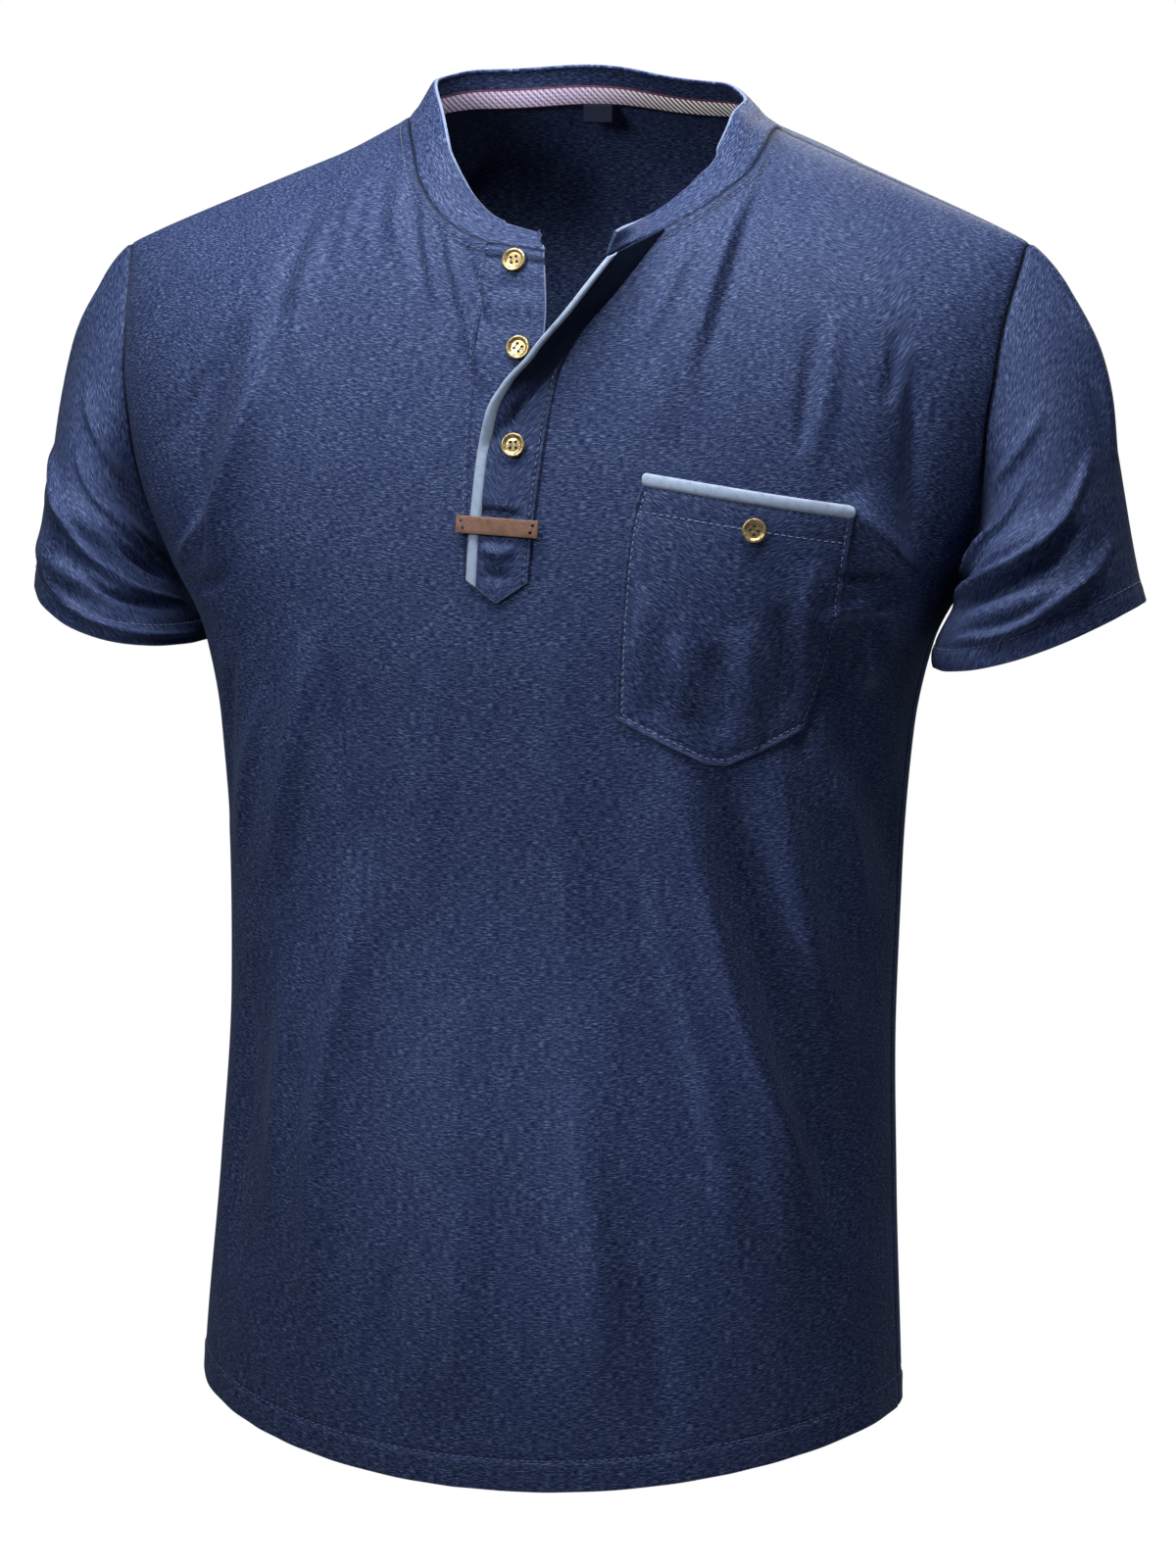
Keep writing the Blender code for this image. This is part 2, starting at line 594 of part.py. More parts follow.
def front_grid():
    """Front panel's grid of (angle, drop) and which quads it has: the slit above the placket foot is cut."""
    foot_rows = rows_to_slit()
    up_rows = SIDE_STEPS + ARM_STEPS - foot_rows
    halves = []
    for edge, neck in ((None, NECK_RIGHT), (OPENING_LEFT, NECK_LEFT)):
        low_z = np.linspace(HEM_CENTRE_Z, SLIT_FOOT_Z, foot_rows + 1)
        low = np.stack([np.full(len(low_z), SLIT_HALF), low_z], axis=1)
        if edge is None:
            high = along(((SLIT_HALF, SLIT_FOOT_Z), (SLIT_HALF, NECK_RIGHT[-1][1])), up_rows)
            high[:, 0] *= -1
            low[:, 0] *= -1
        else:
            high = along(edge, up_rows)
        inner = to_domain(np.concatenate([low, high[1:]]))
        inner[0, 1] = hem_drop(inner[0, 0])
        neck_curve = to_domain(along(neck[::-1], NECK_STEPS))
        neck_curve[-1] = (math.asin(abs(neck[0][0]) / TABLE[0, 1]), 0.0)
        inner[-1] = neck_curve[0]
        halves.append(half_panel(inner, neck_curve, True))
    right = mirrored(halves[0])
    left = halves[1]
    share = np.linspace(0, 1, SLIT_STEPS + 1)[1:-1, None, None]
    middle = right[-1][None] * (1 - share) + left[0][None] * share
    grid = np.concatenate([right, middle, left])
    present = np.ones((grid.shape[0] - 1, grid.shape[1] - 1), bool)
    present[len(right) - 1:len(right) - 1 + SLIT_STEPS, foot_rows:] = False
    return grid, present


def back_grid():
    """Back panel's grid of (angle, drop), from the wearer's right side to the left."""
    halves = []
    for neck_x in (NECK_RIGHT[0][0], NECK_LEFT[0][0]):
        neck = back_neck(neck_x)
        drops = np.linspace(hem_drop(0.0), neck[0, 1], SIDE_STEPS + ARM_STEPS + 1)
        inner = np.stack([np.zeros(len(drops)), drops], axis=1)
        halves.append(half_panel(inner, neck, False))
    right = mirrored(halves[0])
    grid = np.concatenate([right, halves[1][1:]])
    grid[..., 0] = math.pi - grid[..., 0]
    return grid


def make_panels():
    grid, present = front_grid()
    outer, inner = panel_points(grid, False)
    finish(wall("front_panel", outer, inner, present), "cloth")
    grid = back_grid()
    outer, inner = panel_points(grid, True)
    finish(wall("back_panel", outer, inner), "cloth")


# ---------------------------------------------------------------- sleeves
def armhole_ring(side):
    """Armhole as 3-D points, as if on the wearer's left: top, down the front, underarm, up the back."""
    front = armhole(True)[::-1]
    back = armhole(False)
    angle = np.concatenate([front[:, 0], math.pi - back[1:-1, 0]])
    drop = np.concatenate([front[:, 1], back[1:-1, 1]])
    return body_surface(angle * side, drop)[0] * np.array([side, 1.0, 1.0])


def cuff_ring(turn, side):
    """Cuff edge at each turn (0 top, 0.25 front, 0.5 underarm), as if on the wearer's left."""
    a = 2 * math.pi * turn
    centre = CUFF_CENTRE[side]
    across = CUFF_HALF_ACROSS[side] * np.cos(a)
    x = centre[0] + across * math.cos(CUFF_TILT[side])
    y = centre[1] - CUFF_HALF_DEEP[side] * np.sin(a)
    z = centre[2] + across * math.sin(CUFF_TILT[side]) - CUFF_DIP * np.sin(a) ** 2
    return np.stack([x, y, z], axis=-1)


def sleeve_grid(side):
    """A sleeve's points as if on the left, columns round it and rows from armhole to cuff."""
    ring = armhole_ring(side)
    count = len(ring)
    turn = np.arange(count) / count
    cuff = cuff_ring(turn, side)
    top = (1 + np.cos(2 * math.pi * turn)) / 2
    axis = np.array([math.sin(CUFF_LEAN[side]), 0.0, -math.cos(CUFF_LEAN[side])])
    lean = np.tile(SIDE_DIRECTION, (count, 1))
    lean[:, 1] *= np.sin(2 * math.pi * turn)
    leave = (HEAD_PUSH[side] * top ** 2)[:, None] * np.array(HEAD_DIRECTION)
    leave = leave + (INSEAM_PUSH + SIDE_PUSH * top * (1 - top))[:, None] * lean
    arrive = (CUFF_PULL + CUFF_PULL_TOP * top)[:, None] * axis
    rows = []
    for t in np.linspace(0.0, 1.0, SLEEVE_STEPS + 1):
        rows.append((2 * t ** 3 - 3 * t ** 2 + 1) * ring + (t ** 3 - 2 * t ** 2 + t) * leave
                    + (3 * t ** 2 - 2 * t ** 3) * cuff + (t ** 3 - t ** 2) * arrive)
    points = np.stack(rows, axis=1)
    normal = grid_normals(points)
    around = turn[:, None] * np.ones((1, SLEEVE_STEPS + 1))
    run = np.linspace(0, 1, SLEEVE_STEPS + 1)[None, :] * np.ones((count, 1))
    lift = sleeve_fold(around, run)
    return points + normal * lift[..., None], normal


def sleeve_fold(turn, run):
    """Height of the sleeve's folds, measured on the sleeve laid flat."""
    total = np.zeros(turn.shape)
    for t0, r0, t1, r1, wide, high in SLEEVE_FOLDS:
        start = (t0 * SLEEVE_ROUND, r0 * SLEEVE_LONG)
        end = (t1 * SLEEVE_ROUND, r1 * SLEEVE_LONG)
        total = total + soft_ridge(turn * SLEEVE_ROUND, run * SLEEVE_LONG, start, end, 0.0, wide, high)
    return total * np.clip(run / SLEEVE_FOLD_START, 0.0, 1.0)


def grid_normals(points):
    """Directions across a ring-shaped grid, pointing away from the ring's middle."""
    du = np.roll(points, -1, axis=0) - np.roll(points, 1, axis=0)
    dv = np.gradient(points, axis=1)
    normal = np.cross(du, dv)
    normal /= np.linalg.norm(normal, axis=-1, keepdims=True)
    away = points - points.mean(axis=0, keepdims=True)
    if np.einsum("ijk,ijk->", normal, away) < 0:
        normal = -normal
    return normal


def make_sleeves():
    for name, side in (("sleeve_left", 1), ("sleeve_right", -1)):
        points, normal = sleeve_grid(side)
        outer = points.copy()
        step = points[:, 1] - points[:, 0]
        outer[:, 0] += LAY_GAP * step / np.linalg.norm(step, axis=-1, keepdims=True)
        inner = outer - normal * CLOTH
        turn = np.array([side, 1.0, 1.0])
        finish(wall(name, outer * turn, inner * turn, ring=True), "cloth")


# ---------------------------------------------------------------- collar
def collar_base():
    """The neck seam from the right front end, round the back, to the left corner: points, directions."""
    right_top = np.stack([np.linspace(UNDER_EDGE[0][0], -SLIT_HALF, SLIT_STEPS + 1),
                          np.linspace(UNDER_TOP_Z[1], UNDER_TOP_Z[0], SLIT_STEPS + 1)], axis=1)
    placket = np.stack(front_at(right_top[:, 0], right_top[:, 1]))
    grid, _ = front_grid()
    front = np.stack(body_surface(grid[:, -1, 0], grid[:, -1, 1]))
    grid = back_grid()
    rear = np.stack(body_surface(grid[:, -1, 0], grid[:, -1, 1]))
    right_front = front[:, SHOULDER_STEPS:SHOULDER_STEPS + NECK_STEPS + 1][:, ::-1]
    left_front = front[:, -(SHOULDER_STEPS + NECK_STEPS + 1):][:, :NECK_STEPS + 1]
    neck_back = rear[:, SHOULDER_STEPS:rear.shape[1] - SHOULDER_STEPS]
    return np.concatenate([placket[:, :-1], right_front, neck_back[:, 1:-1], left_front[:, ::-1]], axis=1)


def collar_points():
    """Outer points of the collar band: columns along the neck, rows from its seam to its top edge."""
    base, seam = collar_base()
    reach = np.concatenate([[0.0], np.cumsum(np.linalg.norm(np.diff(base, axis=0), axis=1))])
    share = reach / reach[-1]
    rows = np.array(COLLAR_ROWS)
    lean = smooth_through(rows[:, 0], rows[:, 1], share)
    high = smooth_through(rows[:, 0], rows[:, 2], share)
    tangent = np.gradient(base, axis=0)
    out = np.stack([tangent[:, 1], -tangent[:, 0], np.zeros(len(base))], axis=1)
    out /= np.linalg.norm(out, axis=1, keepdims=True)
    if np.einsum("ij,ij->", out, base - base.mean(axis=0)) < 0:
        out = -out
    up = np.array([0.0, 0.0, 1.0])
    rise = (np.cos(lean)[:, None] * up - np.sin(lean)[:, None] * out) * high[:, None]
    rise[0] += COLLAR_END_ROUND * tangent[0] / np.linalg.norm(tangent[0])
    into_neck = np.cross(seam, tangent)
    into_neck /= np.linalg.norm(into_neck, axis=1, keepdims=True)
    if np.einsum("ij,ij->", into_neck, out) > 0:
        into_neck = -into_neck
    base = base + into_neck * COLLAR_SEAM_GAP
    corner = base[-1]
    edge = flap_edge(len(FLAP) - 1)
    end_rise = np.array(COLLAR_END_REACH)
    for k in range(1, COLLAR_END_STEPS + 1):
        f = k / COLLAR_END_STEPS
        base = np.concatenate([base, (corner * (1 - f) + edge * f)[None]])
        rise = np.concatenate([rise, (rise[len(share) - 1] * (1 - f) + end_rise * f)[None]])
    base = base + rise * (SEAM_GAP / np.linalg.norm(rise, axis=1, keepdims=True))
    t = np.linspace(0.0, 1.0, COLLAR_STEPS + 1)[None, :, None]
    return base[:, None] + rise[:, None] * t


def sheet_normals(points, towards):
    """Directions across an open grid of points, on the side that `towards` names."""
    du = np.gradient(points, axis=0)
    dv = np.gradient(points, axis=1)
    normal = np.cross(du, dv)
    normal /= np.linalg.norm(normal, axis=-1, keepdims=True)
    flip = np.sign(np.einsum("ijk,k->", normal, np.asarray(towards, float)))
    return normal * (flip if flip else 1.0)


def collar_normals(points):
    """Outward directions of the collar band."""
    normal = sheet_normals(points, (0.0, 0.0, 1.0))
    back = len(points) // 2
    if normal[back, 0, 1] < 0:
        normal = -normal
    return normal


def make_collar():
    points = collar_points()
    normal = collar_normals(points)
    seam = collar_base()[1]
    inwards = normal.copy()
    inwards[:len(seam), 0] = seam
    finish(wall("collar_band", points, points - inwards * BAND_CLOTH), "cloth")
    make_tape(points, normal)


def make_tape(points, normal):
    """Tape over the neck seam inside the back, from shoulder seam to shoulder seam, and its label."""
    start = SLIT_STEPS + NECK_STEPS + 1
    rows = points[start:start + 2 * NECK_STEPS - 1]
    across = normal[start:start + 2 * NECK_STEPS - 1]
    full = np.linalg.norm(rows[:, -1] - rows[:, 0], axis=1)[:, None, None]
    t = np.linspace(0.0, 1.0, TAPE_STEPS + 1)[None, :, None] * TAPE_HIGH / full
    base = rows[:, :1] * (1 - t) + rows[:, -1:] * t
    inside = base - across[:, :1] * (BAND_CLOTH + LAY_GAP)
    finish(wall("neck_tape", inside, inside - across[:, :1] * TAPE_CLOTH), "tape")
    over = np.abs(inside[:, 0, 0] - LABEL_X) < 2 * LABEL_HALF
    tape_foot = inside[over, 0].min(axis=0)
    x = np.linspace(LABEL_X - LABEL_HALF, LABEL_X + LABEL_HALF, LABEL_STEPS + 1)[:, None]
    z = np.linspace(tape_foot[2] - 2 * LAY_GAP, tape_foot[2] - LABEL_DROP, LABEL_STEPS + 1)[None, :]
    x, z = np.broadcast_arrays(x, z)
    y = tape_foot[1] + 0.0 * x
    face = np.stack([x, y, z], axis=-1)
    finish(wall("neck_label", face, face - np.array([0.0, TAPE_CLOTH, 0.0])), "label")


# ---------------------------------------------------------------- plackets
def make_under_placket():
    """Button stand of the right front, in the slit, level with the panel."""
    share = np.linspace(0.0, 1.0, UNDER_ACROSS + 1)[:, None]
    top = np.linspace(UNDER_TOP_Z[0], UNDER_TOP_Z[1], UNDER_ACROSS + 1)[:, None] - LAY_GAP
    t = np.linspace(0.0, 1.0, UNDER_STEPS + 1)[None, :]
    z = top * (1 - t) + (SLIT_FOOT_Z + LAY_GAP) * t
    edge = np.array(UNDER_EDGE)[::-1]
    free = smooth_through(edge[:, 1], edge[:, 0], z[-1])[None, :]
    seam = -SLIT_HALF + LAY_GAP
    x = seam + (free - seam) * share
    points, normal = front_at(x, z)
    finish(wall("under_placket", points, points - normal * CLOTH), "cloth")


def flap_column(name, z):
    rows = np.array(FLAP)
    return smooth_through(rows[:, 0], rows[:, FLAP_COLUMNS.index(name)], z)


def flap_points(z_seam, share):
    """Inner-face points of the over placket: a row for each seam height, `share` of the way to its edge."""
    seam = np.array(OPENING_LEFT)
    x_seam = smooth_through(seam[:, 1], seam[:, 0], z_seam)[:, None] + FLAP_LAP
    z_seam = z_seam[:, None]
    flat = flap_column("flat", z_seam)
    reach = flap_column("reach", z_seam)
    laid = np.minimum(share, flat)
    turned = np.maximum(share - flat, 0.0)
    tip = FLAP_TIP * (1 - np.abs(2 * share - 1)) * np.clip(
        1 - (z_seam - FLAP[0][0]) / FLAP_TIP_RISE, 0.0, 1.0)
    base, _ = front_at(x_seam - reach * laid, z_seam - tip, LAY_GAP)
    ahead = flap_column("forward", z_seam) / np.maximum(1 - flat, LEAST_TURN)
    down = flap_column("down", z_seam) / np.maximum(1 - flat, LEAST_TURN)
    step = np.stack([-reach * turned, -ahead * turned, -down * turned], axis=-1)
    return base + step


def flap_edge(row):
    """Free corner of the over placket at a row of its table."""
    z = np.array([FLAP[row][0]])
    return flap_points(z, np.array([[1.0]]))[0, 0]


def make_over_placket():
    """Buttonhole stand of the left front and the contrast strip along its free edge."""
    z = np.linspace(FLAP[0][0], FLAP[-1][0] - 2 * LAY_GAP, FLAP_STEPS + 1)
    for name, low, high, count, cloth, kind in (
            ("over_placket", 0.0, 1 - TRIM_SHARE - TRIM_GAP_SHARE, FLAP_ACROSS, CLOTH, "cloth"),
            ("placket_trim", 1 - TRIM_SHARE, 1.0, TRIM_ACROSS, TRIM_CLOTH, "trim")):
        share = np.linspace(low, high, count + 1)[None, :]
        points = flap_points(z, share)
        normal = sheet_normals(points, (0.0, -1.0, 0.0))
        finish(wall(name, points + normal * cloth, points), kind)


# ---------------------------------------------------------------- tab, buttons, pocket
def frame_at(x, z, out):
    """Point of the front moved out, with the directions across, up and outwards there."""
    point, normal = front_at(np.array([x]), np.array([z]), out)
    outwards = normal[0]
    across = np.cross(np.array([0.0, 0.0, 1.0]), outwards)
    across /= np.linalg.norm(across)
    return point[0], across, np.cross(outwards, across), outwards


LEVEL = {
    "under": LAY_GAP,
    "over": CLOTH + 2 * LAY_GAP,
    "pocket": POCKET_GAP + POCKET_BULGE + CLOTH + LAY_GAP,
}


def make_tab():
    """Flat leather strip across the foot of the placket."""
    point, across, up, outwards = frame_at(*TAB_CENTRE, LEVEL["over"] + TRIM_CLOTH - CLOTH + LAY_GAP / 2)
    along_tab = across * math.cos(TAB_TILT) + up * math.sin(TAB_TILT)
    up_tab = np.cross(outwards, along_tab)
    u = np.linspace(-0.5, 0.5, TAB_POINTS[0])[:, None, None] * TAB_LONG
    v = np.linspace(-0.5, 0.5, TAB_POINTS[1])[None, :, None] * TAB_HIGH
    base = point + along_tab * u + up_tab * v
    finish(wall("leather_tab", base + outwards * TAB_THICK, base), "leather")


def make_buttons():
    """Turned buttons with a raised rim, flat on the cloth."""
    for name, x, z, place in BUTTONS:
        point, across, up, outwards = frame_at(x, z, LEVEL[place])
        verts = [point]
        for radius, height in BUTTON_PROFILE[1:-1]:
            for k in range(BUTTON_SIDES):
                a = 2 * math.pi * k / BUTTON_SIDES
                spoke = across * math.cos(a) + up * math.sin(a)
                verts.append(point + spoke * radius * BUTTON_RADIUS + outwards * height * BUTTON_RIM)
        verts.append(point + outwards * BUTTON_PROFILE[-1][1] * BUTTON_RIM)
        last = len(verts) - 1
        faces = []
        for k in range(BUTTON_SIDES):
            n = (k + 1) % BUTTON_SIDES
            faces.append([0, 1 + n, 1 + k])
            for ring in range(len(BUTTON_PROFILE) - 3):
                a = 1 + ring * BUTTON_SIDES
                b = a + BUTTON_SIDES
                faces.append([a + k, a + n, b + n, b + k])
            faces.append([last - BUTTON_SIDES + k, last - BUTTON_SIDES + n, last])
        finish(new_object(name, np.array(verts), faces), "button")


def pocket_grid():
    """Pocket in (x, z): columns across, rows from its foot to its top edge."""
    left = along(POCKET_LEFT[::-1], POCKET_STEPS)
    right = along(POCKET_RIGHT[::-1], POCKET_STEPS)
    foot = evenly(np.array(POCKET_FOOT), POCKET_STEPS)
    top = evenly(np.array((POCKET_LEFT[0], POCKET_RIGHT[0])), POCKET_STEPS)
    return coons(left, right, foot, top)


def make_pocket():
    """Patch pocket, laid on the front, and the binding along its top edge."""
    grid = pocket_grid()
    c = np.linspace(-1, 1, grid.shape[0])[:, None]
    r = np.linspace(0, 1, grid.shape[1])[None, :]
    bulge = POCKET_BULGE * (1 - c ** 2) * np.minimum(1.0, POCKET_BULGE_RISE * r)
    points, normal = front_at(grid[..., 0], grid[..., 1], POCKET_GAP + bulge)
    finish(wall("pocket", points + normal * CLOTH, points), "cloth")
    edge = grid[:, -1]
    t = np.linspace(0.0, 1.0, TRIM_ACROSS + 1)[None, :]
    x = edge[:, :1] + 0.0 * t
    z = edge[:, 1:] + LAY_GAP + POCKET_TRIM_HIGH * t
    base, normal = front_at(x, z, POCKET_GAP + bulge[:, -1:])
    finish(wall("pocket_trim", base + normal * TRIM_CLOTH, base), "trim")


# ---------------------------------------------------------------- the garment
for old in list(bpy.data.objects):
    bpy.data.objects.remove(old)
make_panels()
make_sleeves()
make_under_placket()
make_over_placket()
make_collar()
make_pocket()
make_tab()
make_buttons()
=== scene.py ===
"""A short-sleeved henley t-shirt of navy slub jersey, hollow and rounded as worn, over a pale floor."""
import math

import bpy
import numpy as np
from mathutils import Matrix, Vector
from mathutils.kdtree import KDTree


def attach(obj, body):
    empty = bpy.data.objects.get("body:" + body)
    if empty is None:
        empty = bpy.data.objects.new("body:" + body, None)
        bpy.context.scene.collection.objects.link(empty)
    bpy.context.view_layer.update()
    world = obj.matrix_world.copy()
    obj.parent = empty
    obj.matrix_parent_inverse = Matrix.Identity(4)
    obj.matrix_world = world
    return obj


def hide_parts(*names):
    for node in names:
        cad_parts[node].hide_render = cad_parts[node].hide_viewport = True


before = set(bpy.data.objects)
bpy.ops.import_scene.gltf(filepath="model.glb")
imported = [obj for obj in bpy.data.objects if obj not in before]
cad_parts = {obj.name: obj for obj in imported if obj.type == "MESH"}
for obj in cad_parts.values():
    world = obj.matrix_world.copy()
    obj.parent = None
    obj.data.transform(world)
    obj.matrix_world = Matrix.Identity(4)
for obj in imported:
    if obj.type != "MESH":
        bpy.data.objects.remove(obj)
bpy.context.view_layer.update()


# ================================================================ floor, light and camera
# A matt pale floor lies well below the shirt, which hangs as if filled by an unseen wearer. Two soft lights
# stand close above its front, three weaker ones in front, beside and behind it, and a spot rakes its left
# side, in a white room.
class Dye:
    """A value, vector or colour inside a material; sums and products of dyes add the nodes they need."""

    def __init__(self, tree, socket=None):
        self.tree = tree
        self.socket = socket

    def node(self, kind, inputs, result=0, stops=(), **settings):
        """A node of any kind: its settings are set first, then the values or links of its sockets."""
        made = self.tree.nodes.new(kind)
        for name, value in settings.items():
            setattr(made, name, value)
        for place, colour in stops:
            stop = made.color_ramp.elements.new(place)
            stop.color = colour
        for name, value in inputs.items():
            if isinstance(value, Dye):
                self.tree.links.new(value.socket, made.inputs[name])
            else:
                made.inputs[name].default_value = value
        return Dye(self.tree, made.outputs[result])

    def math(self, operation, first, second):
        return self.node("ShaderNodeMath", {0: first, 1: second}, operation=operation)

    def __add__(self, other):
        return self.math("ADD", self, other)

    def __radd__(self, other):
        return self.math("ADD", other, self)

    def __sub__(self, other):
        return self.math("SUBTRACT", self, other)

    def __rsub__(self, other):
        return self.math("SUBTRACT", other, self)

    def __mul__(self, other):
        return self.math("MULTIPLY", self, other)

    def __rmul__(self, other):
        return self.math("MULTIPLY", other, self)

    def step(self, low, high, start=0.0, end=1.0):
        """A smooth rise from `start` to `end` while the value goes from `low` to `high`."""
        return self.node("ShaderNodeMapRange", {0: self, 1: low, 2: high, 3: start, 4: end},
                         interpolation_type="SMOOTHSTEP")

    def scaled(self, x, y, z=1.0):
        return self.node("ShaderNodeVectorMath", {0: self, 1: (x, y, z)}, operation="MULTIPLY")

    def moved(self, other):
        return self.node("ShaderNodeVectorMath", {0: self, 1: other}, operation="ADD")

    def noise(self, detail=2.0, roughness=0.5, distortion=0.0):
        return self.node("ShaderNodeTexNoise", {"Vector": self, "Scale": 1.0, "Detail": detail,
                                                "Roughness": roughness, "Distortion": distortion})

    def mixed(self, other, share):
        return self.node("ShaderNodeMix", {0: share, 6: self, 7: other}, result=2, data_type="RGBA")

    def plain(self, colour):
        made = self.node("ShaderNodeRGB", {})
        made.socket.default_value = colour
        return made

    def feeds(self, shader, socket):
        self.tree.links.new(self.socket, shader.inputs[socket])


def new_material(name, constants):
    """A material with its unchanging values set on the shader's own sockets."""
    material = bpy.data.materials.new(name)
    material.use_nodes = True
    tree = material.node_tree
    shader = tree.nodes["Principled BSDF"]
    for socket, value in constants.items():
        shader.inputs[socket].default_value = value
    return material, Dye(tree), shader


FLOOR_Z = -1.1
FLOOR_SIZE = 1.7
bpy.ops.object.select_all(action="DESELECT")
bpy.ops.mesh.primitive_plane_add(size=FLOOR_SIZE, location=(0, 0, FLOOR_Z))
floor = bpy.context.object
floor.name = "floor"
bpy.ops.object.transform_apply(location=True)
floor_paint, dye, shader = new_material("pale_floor", {"Roughness": 0.9, "Specular IOR Level": 0.1})
spot = dye.node("ShaderNodeTexCoord", {}, result=3)
pale = dye.plain((0.86, 0.86, 0.86, 1))
pale.mixed((0.9, 0.9, 0.9, 1), spot.scaled(2, 2).noise()).feeds(shader, "Base Color")
floor.data.materials.append(floor_paint)

WALL_GLOW = 1.0
WALL_LIGHT = 0.04
world = bpy.data.worlds.new("white_room")
bpy.context.scene.world = world
world.use_nodes = True
room = Dye(world.node_tree)
seen = room.node("ShaderNodeLightPath", {})
world.node_tree.nodes["Background"].inputs[0].default_value = (0.7, 0.82, 1.0, 1)
world.node_tree.nodes["Background"].inputs[1].default_value = WALL_LIGHT
walls = room.node("ShaderNodeBackground", {0: (1.0, 1.0, 1.0, 1.0), 1: WALL_GLOW})
both = room.node("ShaderNodeMixShader", {0: seen, 2: walls})
world.node_tree.links.new(world.node_tree.nodes["Background"].outputs[0], both.socket.node.inputs[1])
world.node_tree.links.new(both.socket, world.node_tree.nodes["World Output"].inputs[0])


def soft_light(name, place, aim, size, power, tint):
    """A square area light at a place, turned to what it aims at."""
    lamp = bpy.data.lights.new(name, "AREA")
    lamp.size = size
    lamp.energy = power
    lamp.color = tint
    holder = bpy.data.objects.new(name, lamp)
    bpy.context.scene.collection.objects.link(holder)
    holder.location = place
    holder.rotation_euler = (Vector(aim) - Vector(place)).to_track_quat("-Z", "Y").to_euler()


soft_light("key_light_right", (-0.2, -0.3, 0.64), (0.0, -0.05, -0.12), 0.3, 11.5, (1.0, 0.96, 0.89))
soft_light("key_light_left", (0.26, -0.3, 0.64), (0.0, -0.05, -0.12), 0.3, 10.0, (1.0, 0.96, 0.89))
soft_light("front_light", (-0.35, -0.8, 0.25), (0.0, -0.08, -0.14), 0.3, 5.5, (1.0, 0.99, 0.97))
soft_light("side_light", (1.2, -0.7, 0.1), (0.0, 0.0, -0.35), 0.3, 1.6, (1.0, 0.99, 0.97))
rake = bpy.data.lights.new("raking_light", "SPOT")
rake.energy = 80.0
rake.spot_size = math.radians(13)
rake.spot_blend = 1.0
rake.shadow_soft_size = 0.12
raking = bpy.data.objects.new("raking_light", rake)
bpy.context.scene.collection.objects.link(raking)
raking.location = (-0.95, -1.05, -0.22)
raking.rotation_euler = (Vector((0.185, -0.07, -0.5)) - raking.location).to_track_quat("-Z", "Y").to_euler()
soft_light("back_light", (0.3, 1.5, 0.9), (0.0, 0.0, -0.2), 1.0, 16.0, (1.0, 1.0, 1.0))

CAMERA_TURN = math.radians(17)
CAMERA_LIFT = math.radians(9)
CAMERA_AWAY = 2.48
CAMERA_AIM = (0.0115, 0.0, -0.342)
camera = bpy.data.objects.new("camera", bpy.data.cameras.new("camera"))
bpy.context.scene.collection.objects.link(camera)
sight = Vector((math.sin(CAMERA_TURN) * math.cos(CAMERA_LIFT), -math.cos(CAMERA_TURN) * math.cos(CAMERA_LIFT),
                math.sin(CAMERA_LIFT)))
camera.location = Vector(CAMERA_AIM) + sight * CAMERA_AWAY
camera.rotation_euler = (-sight).to_track_quat("-Z", "Y").to_euler()
camera.data.sensor_fit = "VERTICAL"
camera.data.sensor_height = 24.0
camera.data.lens = 75.0
bpy.context.scene.camera = camera
bpy.context.scene.view_settings.view_transform = "Standard"


# ================================================================ front panel
# The front is one piece of cotton jersey, cut with a slit for the placket. Its shoulder, side and
# armhole edges are overlocked to the back and the sleeves, and its foot is turned up and stitched.
CLOTH = 0.0012
LAY_GAP = 0.0003
MM = 0.001

# horizontal sections of the worn body, from the shoulder crest down to below the hem
SECTION_COLUMNS = ("drop", "half", "front", "back", "middle", "full", "slope", "right")
SECTIONS = (
    (0.0, 0.236, 0.0, 0.0, 0.022, 0.1, 1.0, 0),
    (0.01, 0.236, 0.036, 0.04, 0.021, 0.12, 0.99, 0),
    (0.022, 0.236, 0.054, 0.058, 0.02, 0.14, 0.96, 0),
    (0.045, 0.236, 0.076, 0.078, 0.017, 0.16, 0.88, 0),
    (0.083, 0.236, 0.096, 0.094, 0.014, 0.18, 0.7, 0),
    (0.13, 0.231, 0.108, 0.104, 0.009, 0.2, 0.46, 0),
    (0.18, 0.222, 0.115, 0.11, 0.005, 0.2, 0.24, 0),
    (0.225, 0.2065, 0.118, 0.112, 0.002, 0.2, 0.08, 0),
    (0.265, 0.1875, 0.119, 0.112, 0.0, 0.2, 0.0, 0),
    (0.31, 0.178, 0.119, 0.108, -0.001, 0.2, 0.0, 0),
    (0.38, 0.1735, 0.117, 0.101, -0.003, 0.18, 0.0, 0),
    (0.45, 0.1725, 0.116, 0.098, -0.006, 0.16, 0.0, 0.0005),
    (0.54, 0.1765, 0.116, 0.099, -0.011, 0.12, 0.0, 0.002),
    (0.64, 0.183, 0.117, 0.102, -0.017, 0.08, 0.0, 0.0035),
    (0.74, 0.1865, 0.118, 0.104, -0.022, 0.06, 0.0, 0.004),
)
SHOULDER_TOP_FALL = 0.006
SHOULDER_SLOPE = 0.42
SHOULDER_BEND = 0.045
SHOULDER_ROUND = 0.5
SHOULDER_ROUND_FROM = 0.196
RIGHT_SHOULDER_LOWER = 0.0065
LOWER_BEFORE_NECK = 0.02
LOWER_OVER = 0.06
CREST_TO_FRONT = 0.12
SHOULDER_POINT_X = 0.2345
NECK_REACH = 0.086
ROLL_LEFT = 0.0052
